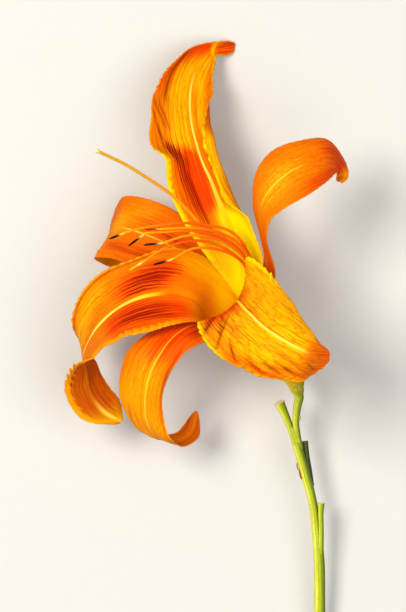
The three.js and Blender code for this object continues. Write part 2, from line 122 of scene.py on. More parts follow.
@dataclass(frozen=True)
class SmoothLine:
    """A smooth line through points, which it passes at even steps of its parameter."""

    points: np.ndarray

    def at(self, t: np.ndarray) -> np.ndarray:
        """Find points on the line.

        Args:
            t: parameters from 0 at the first point to 1 at the last.

        Returns:
            One point for each parameter.
        """
        p = self.points
        last = len(p) - 1
        spot = np.clip(np.asarray(t, dtype=float), 0.0, 1.0) * last
        i = np.minimum(spot.astype(int), last - 1)
        w = (spot - i)[:, None]
        ends = np.vstack([2 * p[0] - p[1], p, 2 * p[last] - p[last - 1]])
        a, b, c, d = ends[i], ends[i + 1], ends[i + 2], ends[i + 3]
        leave = 0.5 * (c - a)
        arrive = 0.5 * (d - b)
        curve = (2 * b - 2 * c + leave + arrive) * w**3
        bend = (-3 * b + 3 * c - 2 * leave - arrive) * w**2
        return curve + bend + leave * w + b

    def at_stations(self, stations: tuple[float, ...]) -> np.ndarray:
        """Find points by their place in the list of the line's own points, such as 1.5."""
        return self.at(np.array(stations) / (len(self.points) - 1))

    def way(self, t: np.ndarray, step: float = 1e-4) -> np.ndarray:
        """Find the line's unit directions at parameters t."""
        t = np.asarray(t, dtype=float)
        return unit(self.at(np.minimum(t + step, 1.0)) - self.at(np.maximum(t - step, 0.0)))


@dataclass(frozen=True)
class FlowerAxis:
    """The flower's axis from the foot of its tube, with a clock round it from the viewer's side."""

    foot: np.ndarray
    facing: np.ndarray
    aside: np.ndarray

    @property
    def near(self) -> np.ndarray:
        """The direction across the axis that points at the viewer."""
        return unit(np.cross(self.aside, self.facing))

    def round(self, height: float, radius: float, clock: float) -> np.ndarray:
        """Find a point beside the axis.

        Args:
            height: its height along the axis in mm.
            radius: its distance from the axis in mm.
            clock: its clock angle in degrees.

        Returns:
            The point in mm.
        """
        angle = math.radians(clock)
        out = self.near * math.cos(angle) + self.aside * math.sin(angle)
        return self.foot + self.facing * height + out * radius


AXIS = FlowerAxis(
    foot=DRAWING.place([(297, 390, 17)])[0],
    facing=unit(np.array([-0.504, 0.645, 0.574])),
    aside=unit(np.array([0.788, 0.615, 0.0])),
)
TUBE_LENGTH = 22.0
THROAT_HEIGHT = 12.0
LEDGE_HEIGHT = 18.5
SEAT_GAP = 0.3


class Body(str, Enum):
    """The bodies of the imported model."""

    ROOT = "root"


# ---- Meshes ----


class Mark(Enum):
    """The numbers that a mesh carries at each vertex, which its material reads."""

    ACROSS = "across"
    ACROSS_MM = "across_mm"
    ALONG = "along"
    ALONG_MM = "along_mm"
    CORE = "core"
    # furrows, with painted shade laid dark along them
    CREASE_AND_PAINTED_SHADE = "painted_crease_shade"
    CUT = "cut"
    EYE = "eye"
    GOLD = "gold"
    HEM = "hem"
    KEEL = "keel"
    NET = "net"
    OFF_RIB = "off_rib"
    OUTER = "outer"
    PALE = "pale"
    RIB = "rib"
    SEED = "seed"
    # painted shade for a stub that lies in shadow behind the stem; its cut end is browner
    SHADE = "shade"
    SHARE = "share"
    # painted light and shade: how far a stalk's side faces the key lamp
    LIT_SIDE = "lit_side"
    TURN = "turn"
    YELLOW = "yellow"


Marks = dict[Mark, np.ndarray]


@dataclass
class Shape:
    """What a piece is made from: its vertices in mm, its faces and its vertices' marks."""

    points: np.ndarray
    faces: Faces
    marks: Marks

    def extend(self, points: np.ndarray, faces: Faces, marks: Marks) -> None:
        """Add to the shape.

        Args:
            points: the new vertices in mm.
            faces: the new faces, with vertices numbered as in the whole.
            marks: the new vertices' marks.
        """
        self.points = np.concatenate([self.points, points])
        self.faces += faces
        self.marks = {mark: np.concatenate([old, marks[mark]]) for mark, old in self.marks.items()}

    def make(
        self, name: str, node: str, slot: str, material: bpy.types.Material
    ) -> bpy.types.Object:
        """Make one smooth piece that rides on the flower, in place of a node's solid.

        Args:
            name: the piece's name.
            node: the node whose solid it replaces.
            slot: not used.
            material: what it is made of.

        Returns:
            The new object.
        """
        mesh = bpy.data.meshes.new(name)
        mesh.from_pydata((self.points * MM).tolist(), [], self.faces)
        for mark, values in self.marks.items():
            layer = mesh.attributes.new(mark.value, "FLOAT", "POINT")
            layer.data.foreach_set("value", np.ascontiguousarray(values, dtype=np.float32))
        mesh.validate()
        mesh.shade_smooth()
        mesh.materials.append(material)
        piece = bpy.data.objects.new(name, mesh)
        bpy.context.scene.collection.objects.link(piece)
        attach(piece, Body.ROOT.value)
        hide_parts(node)
        return piece


def sheet_faces(rows: int, columns: int, start: int, flip: bool) -> Faces:
    """List the quads of a grid of points.

    Args:
        rows: how many rows it has.
        columns: how many points a row has.
        start: the number of its first point.
        flip: whether its quads face the other way.

    Returns:
        The quads, row by row.
    """
    faces = []
    for i in range(rows - 1):
        for j in range(columns - 1):
            a = start + i * columns + j
            quad = (a, a + columns, a + columns + 1, a + 1)
            faces.append(quad[::-1] if flip else quad)
    return faces


def blade_faces(rows: int, columns: int) -> Faces:
    """List the quads of a closed blade of two grids, the inner one first.

    Args:
        rows: how many rows each grid has.
        columns: how many points a row has.

    Returns:
        The quads of the inner face, the outer face and the rim between them.
    """
    outer = rows * columns
    faces = sheet_faces(rows, columns, 0, False) + sheet_faces(rows, columns, outer, True)
    rim = [i * columns for i in range(rows)]
    rim += [(rows - 1) * columns + j for j in range(1, columns)]
    rim += [i * columns + columns - 1 for i in range(rows - 2, -1, -1)]
    rim += [j for j in range(columns - 2, 0, -1)]
    for k, a in enumerate(rim):
        b = rim[(k + 1) % len(rim)]
        faces.append((b, a, a + outer, b + outer))
    return faces


def band_faces(low: int, high: int, sides: int) -> Faces:
    """List the quads between two rings of points.

    Args:
        low: the number of the first ring's first point.
        high: the number of the second ring's first point.
        sides: how many points each ring has.

    Returns:
        The quads, in order round the rings.
    """
    faces = []
    for k in range(sides):
        n = (k + 1) % sides
        faces.append((low + k, low + n, high + n, high + k))
    return faces


@dataclass
class Stalk:
    """A round stalk through points, closed by flat ends, with its girth by angle."""

    points: np.ndarray
    radii: list[float]
    sides: int
    steps: int
    girth: np.ndarray | float = 1.0
    cut_rim: float = 0.8

    def build(self) -> Shape:
        """Make the stalk's shape.

        Returns:
            Its shape, with the marks along_mm, share from 0 to 1, turn, and cut, which is 1 on the
            flat ends.
        """
        line = SmoothLine(self.points)
        widths = SmoothLine(np.array([[r, 0.0, 0.0] for r in self.radii]))
        t = np.linspace(0.0, 1.0, self.steps + 1)
        middle = line.at(t)
        way = line.way(t)
        radius = widths.at(t)[:, 0]
        across = np.array([0.0, 0.0, 1.0])
        angles = ring_angles(self.sides)
        rings = []
        for i in range(self.steps + 1):
            across = unit(across - way[i] * across.dot(way[i]))
            other = np.cross(way[i], across)
            r = radius[i] * self.girth * np.ones(self.sides)
            spokes = np.outer(r * np.cos(angles), across) + np.outer(r * np.sin(angles), other)
            rings.append(middle[i] + spokes)
        steps = np.linalg.norm(np.diff(middle, axis=0), axis=1)
        length = np.concatenate([[0.0], np.cumsum(steps)])
        marks = {
            Mark.ALONG_MM: np.repeat(length, self.sides),
            Mark.SHARE: np.repeat(t, self.sides),
            Mark.TURN: np.tile(angles / TURN, self.steps + 1),
            Mark.CUT: np.zeros((self.steps + 1) * self.sides),
        }
        faces = []
        for i in range(self.steps):
            faces += band_faces(i * self.sides, (i + 1) * self.sides, self.sides)
        shape = Shape(np.concatenate(rings), faces, marks)
        self._cap(shape, 0, middle[0], length[0])
        self._cap(shape, self.steps, middle[-1], length[-1])
        return shape

    def _cap(self, shape: Shape, row: int, hub: np.ndarray, length: float) -> None:
        """Close one end with rings of its own, so that its edge stays sharp.

        Args:
            shape: the stalk so far, which is added to.
            row: the number of the ring at this end.
            hub: the end's middle.
            length: how far along the stalk it is, in mm.
        """
        first, sides = len(shape.points), self.sides
        ring = shape.points[row * sides : (row + 1) * sides]
        inner = hub + (ring - hub) * self.cut_rim
        faces = band_faces(first, first + sides, sides)
        for k in range(sides):
            faces.append((first + sides + k, first + sides + (k + 1) % sides, first + 2 * sides))
        if row == 0:
            faces = [face[::-1] for face in faces]
        extra = 2 * sides + 1
        marks = {
            Mark.ALONG_MM: np.full(extra, length),
            Mark.SHARE: np.full(extra, float(row > 0)),
            Mark.TURN: np.zeros(extra),
            Mark.CUT: np.concatenate([np.full(sides, 0.5), np.ones(sides + 1)]),
        }
        shape.extend(np.concatenate([ring, inner, hub[None]]), faces, marks)


# ---- Materials ----


def linear(code: str) -> tuple[float, float, float, float]:
    """Turn an sRGB colour into the linear one that the shaders take.

    Args:
        code: the colour in hex, such as "F08010".

    Returns:
        Its red, green, blue and alpha.
    """
    values = [int(code[i : i + 2], 16) / 255 for i in (0, 2, 4)]
    red, green, blue = (v / 12.92 if v <= 0.04045 else ((v + 0.055) / 1.055) ** 2.4 for v in values)
    return (red, green, blue, 1.0)


@dataclass(frozen=True)
class NodeKind:
    """A kind of node: its type, the inputs that are given in order, and what is always the same."""

    type: str
    inputs: tuple[int | str, ...] = (0, 1)
    output: int | str | None = 0
    settings: dict[str, object] = field(default_factory=dict)
    fixed: dict[str, float] = field(default_factory=dict)


class Node(Enum):
    """The kinds of node that the materials use."""

    MARK = NodeKind("ShaderNodeAttribute", (), "Fac")
    SPOT = NodeKind("ShaderNodeTexCoord", (), "Object")
    JOIN = NodeKind("ShaderNodeCombineXYZ", (0, 1, 2))
    PLUS = NodeKind("ShaderNodeMath", settings={"operation": "ADD"})
    LESS = NodeKind("ShaderNodeMath", settings={"operation": "SUBTRACT"})
    TIMES = NodeKind("ShaderNodeMath", settings={"operation": "MULTIPLY"})
    LARGER = NodeKind("ShaderNodeMath", settings={"operation": "MAXIMUM"})
    AMOUNT = NodeKind("ShaderNodeMath", settings={"operation": "ABSOLUTE"})
    SHIFT = NodeKind("ShaderNodeVectorMath", settings={"operation": "ADD"})
    SHIFT_BACK = NodeKind("ShaderNodeVectorMath", settings={"operation": "SUBTRACT"})
    STRETCH = NodeKind("ShaderNodeVectorMath", settings={"operation": "MULTIPLY"})
    NOISE = NodeKind(
        "ShaderNodeTexNoise", ("Vector", "Scale", "Detail"), "Fac", fixed={"Roughness": 0.55}
    )
    WANDER = NodeKind("ShaderNodeTexNoise", ("Vector", "Scale", "Detail"), "Color")
    CELLS = NodeKind(
        "ShaderNodeTexVoronoi", ("Vector", "Scale"), "Distance", {"feature": "DISTANCE_TO_EDGE"}
    )
    RAMP = NodeKind("ShaderNodeValToRGB", (0,))
    MIX = NodeKind("ShaderNodeMix", (0, 6, 7), 2, {"data_type": "RGBA"})
    DARKEN = NodeKind("ShaderNodeHueSaturation", ("Color", "Value"))
    BUMP = NodeKind("ShaderNodeBump", ("Height", "Strength", "Distance"))
    SURFACE = NodeKind(
        "ShaderNodeBsdfPrincipled",
        ("Base Color", "Normal", "Roughness", "Specular IOR Level", "IOR", "Coat Weight",
         "Coat Roughness"),
    )
    THROUGH = NodeKind("ShaderNodeBsdfTranslucent", ("Color",))
    BLEND = NodeKind("ShaderNodeMixShader", (0, 1, 2))
    OUTPUT = NodeKind("ShaderNodeOutputMaterial", ("Surface",), None)


@dataclass(frozen=True)
class Finish:
    """A skin's finish: its roughness and gloss, its relief in mm and the light that gets through.

    What is None keeps the usual value.
    """

    roughness: float
    bump: float
    depth_mm: float
    specular: float | None = None
    glow: float = 0.0
    ior: float | None = None
    coat: float | None = None
    coat_roughness: float | None = None


class Graph:
    """A material's nodes."""

    def __init__(self, name: str) -> None:
        """Start an empty material.

        Args:
            name: the material's name.
        """
        self.material = bpy.data.materials.new(name)
        self.material.use_nodes = True
        self.tree = self.material.node_tree
        self.tree.nodes.clear()

    def add(
        self, kind: Node, *inputs: object, stops: Stops = (), **settings: object
    ) -> bpy.types.NodeSocket | None:
        """Add a node with its settings and links.

        Args:
            kind: the kind of node.
            inputs: what goes into its inputs, in the kind's order: a number, an sRGB hex colour, a
                mark, another node's output, or None, which leaves an input as it is.
            stops: a ramp's places from 0 to 1, each with a level, in straight lines, or with an
                sRGB hex colour, in smooth steps.
            settings: its other properties.

        Returns:
            The node's output.
        """
        made = kind.value
        node = self.tree.nodes.new(made.type)
        for name, value in (made.settings | settings).items():
            setattr(node, name, value)
        for socket, value in (dict(zip(made.inputs, inputs)) | made.fixed).items():
            if isinstance(value, Mark):
                value = self.add(Node.MARK, attribute_name=value.value)
            if isinstance(value, bpy.types.NodeSocket):
                self.tree.links.new(value, node.inputs[socket])
            elif isinstance(value, str):
                node.inputs[socket].default_value = linear(value)
            elif value is not None:
                node.inputs[socket].default_value = value
        if stops:
            self._set_stops(node.color_ramp, stops)
        return None if made.output is None else node.outputs[made.output]

    def _set_stops(self, ramp: bpy.types.ColorRamp, stops: Stops) -> None:
        """Give a ramp its stops.

        Args:
            ramp: the ramp, with the two stops that it starts with.
            stops: its places, each with a level or an sRGB hex colour.
        """
        while len(ramp.elements) < len(stops):
            ramp.elements.new(0.5)
        for element, (place, level) in zip(ramp.elements, stops):
            element.position = place
            if isinstance(level, str):
                ramp.interpolation = "EASE"
                element.color = linear(level)
            else:
                element.color = (level, level, level, 1.0)

    def close(self, finish: Finish, colour: object, height: object) -> bpy.types.Material:
        """Close the material with its surface shader.

        Args:
            finish: how its skin takes the light.
            colour: the skin's colour, which light takes on its way through too.
            height: the skin's relief, from 0 to about 1.

        Returns:
            The finished material.
        """
        f = finish
        bump = self.add(Node.BUMP, height, f.bump, f.depth_mm * MM)
        shader = self.add(
            Node.SURFACE, colour, bump, f.roughness, f.specular, f.ior, f.coat, f.coat_roughness
        )
        if f.glow > 0:
            through = self.add(Node.THROUGH, colour)
            shader = self.add(Node.BLEND, f.glow, shader, through)
        self.add(Node.OUTPUT, shader)
        return self.material


@dataclass(frozen=True)
class TepalTissue:
    """Living petal or sepal: thin, juicy tissue with a satin skin that lets some light through.

    Fine veins run 0.5 mm apart from foot to tip and are joined by a net of cross veins, with the
    skin slightly puffed between them. To the eye it is a soft orange glow with fine streaks and no
    hard shine. Pigment lies in the places that the blade's marks name, and furrows and folds are
    painted darker for the shade in them. The skin's cells are too fine to show, so they are drawn
    coarser, 0.22 mm across.
    """

    name: str
    throat: str = "FFC800"
    limb: str = "F98404"
    gold: str = "FFC404"
    vein: str = "DE5802"
    eye: str = "F04202"
    core: str = "9A1802"
    # painted shade laid along furrows and folds
    painted_crease_shade: str = "A83402"
    rib: str = "FFF05A"
    rib_low: str = "FFD408"
    sunny: str = "FFF000"
    hem: str = "F8A806"
    hem_gold: str = "FFE606"
    lines: float = 1.0
    tip_gold: float = 0.7
    back: str = "DC6806"
    back_vein: str = "9A3C04"
    back_rib: str = "EC8A10"
    back_tip: str = "FFF05A"
    vein_mm: float = 0.42
    vein_length_mm: float = 26.0
    mesh_mm: float = 0.85
    mesh_length_mm: float = 6.0
    patch_mm: float = 2.5
    patch_share: float = 0.12
    wander_mm: float = 0.3
    cell_mm: float = 0.22
    finish: Finish = Finish(0.5, bump=0.6, depth_mm=0.2, specular=0.04, glow=0.25, ior=1.38)

    def _place(self, g: Graph) -> bpy.types.NodeSocket:
        """Find each point's place on the blade, wandering a little so that veins wave.

        Args:
            g: the material's nodes.

        Returns:
            The place across and along the blade in mm, with the blade's seed.
        """
        place = g.add(Node.JOIN, Mark.ACROSS_MM, Mark.ALONG_MM, Mark.SEED)
        drift = g.add(Node.SHIFT_BACK, g.add(Node.WANDER, place, 0.4, 1.0), (0.5, 0.5, 0.5))
        moved = g.add(Node.STRETCH, drift, (2 * self.wander_mm, 6 * self.wander_mm, 0.0))
        return g.add(Node.SHIFT, place, moved)

    def make(self) -> bpy.types.Material:
        """Build the material from the marks that a blade carries.

        Returns:
            The finished material.
        """
        g = Graph(self.name)
        place = self._place(g)
        fine = g.add(Node.STRETCH, place, (1 / self.vein_mm, 1 / self.vein_length_mm, 1.0))
        veins = g.add(Node.NOISE, fine, 1.0, 2.0)
        cells = g.add(Node.STRETCH, place, (1 / self.mesh_mm, 1 / self.mesh_length_mm, 1.0))
        edge = g.add(Node.CELLS, cells, 1.0)
        puff = g.add(Node.RAMP, edge, stops=((0.0, 0.0), (0.3, 1.0)))
        net = g.add(Node.RAMP, edge, stops=((0.02, 1.0), (0.13, 0.0)))
        net = g.add(Node.TIMES, net, Mark.NET)
        broad = g.add(Node.STRETCH, place, (1 / self.patch_mm, self.patch_share, 1.0))
        patches = g.add(Node.NOISE, broad, 1.0, 2.0)
        cell = g.add(Node.NOISE, place, 1 / self.cell_mm, 1.0)

        face = self._face(g, veins, net, patches)
        colour = g.add(Node.MIX, Mark.OUTER, face, self._back(g, veins))
        hem = g.add(Node.MIX, Mark.GOLD, self.hem, self.hem_gold)
        patchy = g.add(Node.RAMP, patches, stops=((0.3, 0.75), (0.5, 1.0)))
        colour = g.add(Node.MIX, g.add(Node.TIMES, Mark.HEM, patchy), colour, hem)
        # painted shade: furrows and folds darkened where shade lies in them
        colour = g.add(Node.MIX, Mark.CREASE_AND_PAINTED_SHADE, colour, self.painted_crease_shade)

        puffed = g.add(Node.TIMES, puff, g.add(Node.TIMES, Mark.NET, 0.6))
        height = g.add(Node.PLUS, veins, puffed)
        height = g.add(Node.PLUS, height, g.add(Node.TIMES, cell, 0.12))
        return g.close(self.finish, colour, height)

    def _face(self, g: Graph, veins: object, net: object, patches: object) -> bpy.types.NodeSocket:
        """Colour the inner face: throat, limb, gold, net of veins, eye zone and midrib.

        Args:
            g: the material's nodes.
            veins: the fine veins, dark below 0.5 and bright above it.
            net: the net of cross veins.
            patches: slow changes from place to place.

        Returns:
            The face's colour.
        """
        streak = g.add(Node.RAMP, veins, stops=((0.38, 0.0), (0.62, 1.0)))
        streak = g.add(Node.PLUS, 0.65, g.add(Node.TIMES, streak, 0.5))
        patchy = g.add(Node.TIMES, g.add(Node.LESS, patches, 0.5), 0.7)
        bright = g.add(Node.TIMES, Mark.GOLD, streak)
        bright = g.add(Node.PLUS, bright, patchy, use_clamp=True)
        gold = g.add(Node.RAMP, Mark.ALONG, stops=((0.2, self.throat), (0.34, self.gold)))
        face = g.add(Node.MIX, bright, self.limb, gold)

        plain = g.add(Node.LESS, 1.0, g.add(Node.TIMES, Mark.NET, 0.45))
        thin = g.add(Node.RAMP, veins, stops=((0.3, 0.85), (0.47, 0.0)))
        lines = g.add(Node.TIMES, thin, plain)
        lines = g.add(Node.PLUS, g.add(Node.TIMES, net, 0.62), lines, use_clamp=True)
        above = g.add(Node.RAMP, Mark.ALONG, stops=((0.2, 0.0), (0.34, self.lines)))
        face = g.add(Node.MIX, g.add(Node.TIMES, lines, above), face, self.vein)

        grainy = g.add(Node.LESS, 0.5, veins)
        for mark, grain, start, most, pigment in (
            (Mark.EYE, 2.4, 0.35, 1.0, self.eye),
            (Mark.CORE, 3.6, 0.5, 0.9, self.core),
        ):
            share = g.add(Node.PLUS, mark, g.add(Node.TIMES, grainy, grain))
            inside = g.add(Node.RAMP, mark, stops=((0.0, 0.0), (start, most)))
            share = g.add(Node.TIMES, share, inside, use_clamp=True)
            face = g.add(Node.MIX, share, face, pigment)
        face = g.add(Node.MIX, Mark.YELLOW, face, self.sunny)

        off = g.add(Node.AMOUNT, Mark.OFF_RIB)
        inside = g.add(Node.RAMP, off, stops=((0.6, 1.0), (1.3, 0.0)))
        stripe = g.add(Node.RAMP, Mark.ALONG, stops=((0.3, self.rib_low), (0.5, self.rib)))
        return g.add(Node.MIX, g.add(Node.TIMES, Mark.RIB, inside), face, stripe)

    def _back(self, g: Graph, veins: object) -> bpy.types.NodeSocket:
        """Colour the outer face: browner, with darker veins and a keel that is pale at the tip.

        Args:
            g: the material's nodes.
            veins: the fine veins, dark below 0.5 and bright above it.

        Returns:
            The back's colour.
        """
        dark = g.add(Node.RAMP, veins, stops=((0.3, 0.9), (0.6, 0.0)))
        back = g.add(Node.MIX, dark, self.back, self.back_vein)
        keel = g.add(Node.RAMP, Mark.ALONG, stops=((0.82, self.back_rib), (0.96, self.back_tip)))
        back = g.add(Node.MIX, Mark.KEEL, back, keel)
        sunny = g.add(Node.TIMES, Mark.YELLOW, Mark.ALONG)
        back = g.add(Node.MIX, sunny, back, self.sunny)
        tip = g.add(Node.RAMP, Mark.ALONG, stops=((0.88, 0.0), (1.0, self.tip_gold)))
        streak = g.add(Node.RAMP, veins, stops=((0.35, 0.45), (0.65, 0.95)))
        bright = g.add(Node.TIMES, Mark.GOLD, streak)
        return g.add(Node.MIX, g.add(Node.LARGER, tip, bright), back, self.gold)


@dataclass(frozen=True)
class StalkTissue:
    """A fleshy stalk such as a filament or a style, coloured from its foot to its end.

    To the eye it is smooth and faintly streaked, with light in its thin edges. Its rows of cells
    are too fine to show, so the streaks are drawn coarser than they are.
    """

    name: str
    stops: Stops
    streak_mm: float = 0.35
    finish: Finish = Finish(0.4, bump=0.3, depth_mm=0.08, specular=0.06, glow=0.12)

    def make(self) -> bpy.types.Material:
        """Build the material from the mark share.

        Returns:
            The finished material.
        """
        g = Graph(self.name)
        colour = g.add(Node.RAMP, Mark.SHARE, stops=self.stops)
        grain = g.add(Node.NOISE, g.add(Node.SPOT), 1 / (self.streak_mm * MM), 2.0)
        streaks = g.add(Node.RAMP, grain, stops=((0.45, 0.0), (0.8, 0.7)))
        colour = g.add(Node.MIX, streaks, colour, g.add(Node.DARKEN, colour, 0.72))
        return g.close(self.finish, colour, grain)


@dataclass(frozen=True)
class PollenSac:
    """An anther: a split sac dusted with pollen, pale where the filament holds it.

    To the eye it is matt and grainy. A grain of pollen is 0.1 mm long, and is drawn a little
    coarser, so that it shows.
    """

    name: str
    sac: str = "120708"
    holder: str = "EEC34E"
    pollen: str = "E8A018"
    pale_share: float = 0.4
    grain_mm: float = 0.12
    finish: Finish = Finish(0.85, bump=0.8, depth_mm=0.1, specular=0.1)

    def make(self) -> bpy.types.Material:
        """Build the material from the mark share.

        Returns:
            The finished material.
        """
        g = Graph(self.name)
        grains = g.add(Node.NOISE, g.add(Node.SPOT), 1 / (self.grain_mm * MM), 2.0)
        ragged = g.add(Node.TIMES, g.add(Node.LESS, grains, 0.5), 0.25)
        reach = g.add(Node.PLUS, Mark.SHARE, ragged)
        ends = ((self.pale_share - 0.12, self.holder), (self.pale_share + 0.08, self.sac))
        colour = g.add(Node.RAMP, reach, stops=ends)
        dust = g.add(Node.RAMP, grains, stops=((0.64, 0.0), (0.74, 0.8)))
        colour = g.add(Node.MIX, dust, colour, self.pollen)
        return g.close(self.finish, colour, grains)


@dataclass(frozen=True)
class StemTissue:
    """The green skin of the scape: waxy, finely striped along it, with pale pith where it is cut.

    To the eye it is a cool green. Its side toward the key lamp is painted paler, with a painted
    highlight band along it, its far side is painted darker, and the stub that lies in shadow is
    painted dark green for the shade.
    """

    name: str
    green: str = "7E9200"
    light: str = "B8C404"
    # painted light and painted highlight for the side toward the key lamp
    painted_light_tint: str = "E4E010"
    painted_highlight_cream: str = "F4E47A"
    # dark green: painted shade on the far side, and the skin's own spots; the next is painted shade
    # for the stub in shadow
    dark: str = "3E4E00"
    painted_shade_green: str = "222E00"
    pith: str = "FFE6B4"
    rind: str = "B07A3C"
    scab: str = "7A3414"
    stem_radius_mm: float = 1.3
    stripe_mm: float = 0.35
    stripe_share: float = 0.12
    spot_mm: float = 1.1
    finish: Finish = Finish(
        0.3, bump=0.4, depth_mm=0.12, specular=0.25, coat=0.04, coat_roughness=0.2
    )

    def make(self) -> bpy.types.Material:
        """Build the material from the marks turn, sun, along_mm, pale, shade and cut.

        Returns:
            The finished material.
        """
        g = Graph(self.name)
        round_mm = g.add(Node.TIMES, Mark.TURN, TURN * self.stem_radius_mm / self.stripe_mm)
        along = g.add(Node.TIMES, Mark.ALONG_MM, self.stripe_share)
        stripes = g.add(Node.NOISE, g.add(Node.JOIN, round_mm, along), 1.0, 2.0)
        spots = g.add(Node.NOISE, g.add(Node.SPOT), 1 / (self.spot_mm * MM), 3.0)
        # painted highlight: a narrow band along the side toward the key lamp
        painted_highlight_band = g.add(
            Node.TIMES,
            g.add(Node.RAMP, Mark.LIT_SIDE, stops=((0.6, 0.0), (0.74, 1.0))),
            g.add(Node.RAMP, Mark.LIT_SIDE, stops=((0.82, 1.0), (0.96, 0.2))),
        )
        striped = g.add(Node.RAMP, stripes, stops=((0.35, 0.1), (0.6, 0.6)))
        skin = self.green
        for share, colour in (
            (g.add(Node.RAMP, stripes, stops=((0.35, 0.0), (0.7, 1.0))), self.light),
            (Mark.PALE, self.light),
            # painted light on the side toward the key lamp
            (g.add(Node.RAMP, Mark.LIT_SIDE, stops=((0.55, 0.0), (0.85, 0.5))), self.painted_light_tint),
            # painted highlight band
            (g.add(Node.TIMES, painted_highlight_band, striped), self.painted_highlight_cream),
            # painted shade on the far side
            (g.add(Node.RAMP, Mark.LIT_SIDE, stops=((0.05, 0.92), (0.5, 0.0))), self.dark),
            (g.add(Node.RAMP, spots, stops=((0.5, 0.0), (0.85, 0.25))), self.dark),
            # painted shade for the stub in shadow
            (Mark.SHADE, self.painted_shade_green),
        ):
            skin = g.add(Node.MIX, share, skin, colour)
        wound = self.pith
        for share, colour in (
            (g.add(Node.RAMP, spots, stops=((0.4, 0.0), (0.7, 0.6))), self.rind),
            (g.add(Node.RAMP, Mark.CUT, stops=((0.55, 0.9), (0.85, 0.0))), self.rind),
            (Mark.SHADE, self.scab),
        ):
            wound = g.add(Node.MIX, share, wound, colour)
        cut = g.add(Node.RAMP, Mark.CUT, stops=((0.45, 0.0), (0.5, 1.0)))
        return g.close(self.finish, g.add(Node.MIX, cut, skin, wound), stripes)


@dataclass(frozen=True)
class TubeTissue:
    """The perianth tube's skin: waxy and yellow green at its foot, turning orange at the mouth.

    To the eye it is finely veined and flecked; its side toward the key lamp is painted lighter and
    its far side painted darker, as painted light and shade.
    """

    name: str
    foot: str = "8E9A06"
    middle: str = "B8A404"
    mouth: str = "F98C06"
    fleck: str = "F4E24C"
    vein: str = "9A7C04"
    # painted shade for the far side and painted light for the side toward the key lamp
    shade: str = "6A5A04"
    painted_light_tint: str = "FCE024"
    fleck_mm: float = 0.5
    veins_round: float = 42.0
    vein_share: float = 0.1
    finish: Finish = Finish(0.4, bump=0.5, depth_mm=0.15, specular=0.25)

    def make(self) -> bpy.types.Material:
        """Build the material from the marks share, turn, sun and along_mm.

        Returns:
            The finished material.
        """
        g = Graph(self.name)
        flecks = g.add(Node.NOISE, g.add(Node.SPOT), 1 / (self.fleck_mm * MM), 3.0)
        round_mm = g.add(Node.TIMES, Mark.TURN, self.veins_round)
        along = g.add(Node.TIMES, Mark.ALONG_MM, self.vein_share)
        veins = g.add(Node.NOISE, g.add(Node.JOIN, round_mm, along), 1.0, 2.0)
        length = ((0.0, self.foot), (0.3, self.middle), (0.8, self.mouth))
        colour = g.add(Node.RAMP, Mark.SHARE, stops=length)
        for value, stops, pigment in (
            (flecks, ((0.54, 0.0), (0.66, 0.8)), self.fleck),
            (veins, ((0.3, 0.5), (0.5, 0.0)), self.vein),
            # painted shade on the far side, painted light toward the key lamp
            (Mark.LIT_SIDE, ((0.1, 0.8), (0.6, 0.0)), self.shade),
            (Mark.LIT_SIDE, ((0.7, 0.0), (0.95, 0.6)), self.painted_light_tint),
        ):
            colour = g.add(Node.MIX, g.add(Node.RAMP, value, stops=stops), colour, pigment)
        height = g.add(Node.PLUS, veins, g.add(Node.TIMES, flecks, 0.3))
        return g.close(self.finish, colour, height)


@dataclass(frozen=True)
class DryScale:
    """A withered bract: papery, brittle and finely ribbed. To the eye it is matt and thin."""

    name: str
    paper: str = "CCCE3C"
    rib: str = "98A010"
    edge: str = "F2E8A0"
    ribs_across: float = 9.0
    finish: Finish = Finish(0.8, bump=0.6, depth_mm=0.1, specular=0.1, glow=0.2)

    def make(self) -> bpy.types.Material:
        """Build the material from the marks across and along.

        Returns:
            The finished material.
        """
        g = Graph(self.name)
        across = g.add(Node.TIMES, Mark.ACROSS, self.ribs_across)
        ribs = g.add(Node.NOISE, g.add(Node.JOIN, across, Mark.ALONG), 1.0, 3.0)
        ribbed = g.add(Node.RAMP, ribs, stops=((0.4, 0.0), (0.65, 1.0)))
        colour = g.add(Node.MIX, ribbed, self.paper, self.rib)
        rim = g.add(Node.AMOUNT, Mark.ACROSS)
        rim = g.add(Node.RAMP, rim, stops=((0.7, 0.0), (1.0, 0.9)))
        return g.close(self.finish, g.add(Node.MIX, rim, colour, self.edge), ribs)


@dataclass(frozen=True)
class MattPaint:
    """The studio's floor: smooth paint. To the eye it is plain, with a faint roller texture."""

    name: str
    colour: str = "CCCAC4"
    texture_mm: float = 3.0
    finish: Finish = Finish(0.7, bump=0.05, depth_mm=0.1)

    def make(self) -> bpy.types.Material:
        """Build the material.

        Returns:
            The finished material.
        """
        g = Graph(self.name)
        texture = g.add(Node.NOISE, g.add(Node.SPOT), 1 / (self.texture_mm * MM), 2.0)
        shade = g.add(Node.DARKEN, self.colour, 0.97)
        return g.close(self.finish, g.add(Node.MIX, texture, self.colour, shade), texture)


# ---- Petals and sepals ----


class Kind(Enum):
    """The two whorls of tepals."""

    PETAL = "petal"
    SEPAL = "sepal"


@dataclass(frozen=True)
class Whorl:
    """What the three tepals of a whorl have in common, in mm and degrees."""

    ring: float
    throat: float
    throat_twist: float
    foot_spread: float
    throat_spread: float
    waves: float
    rows: int
    columns: int
    ribs_mm: float
    net: float


WHORLS = {
    Kind.PETAL: Whorl(4.3, 8.0, 0.7, 54, 60, 6, 340, 71, 0.05, 0.35),
    Kind.SEPAL: Whorl(5.6, 10.2, 0.0, 34, 32, 4, 200, 51, 0.04, 0.45),
}


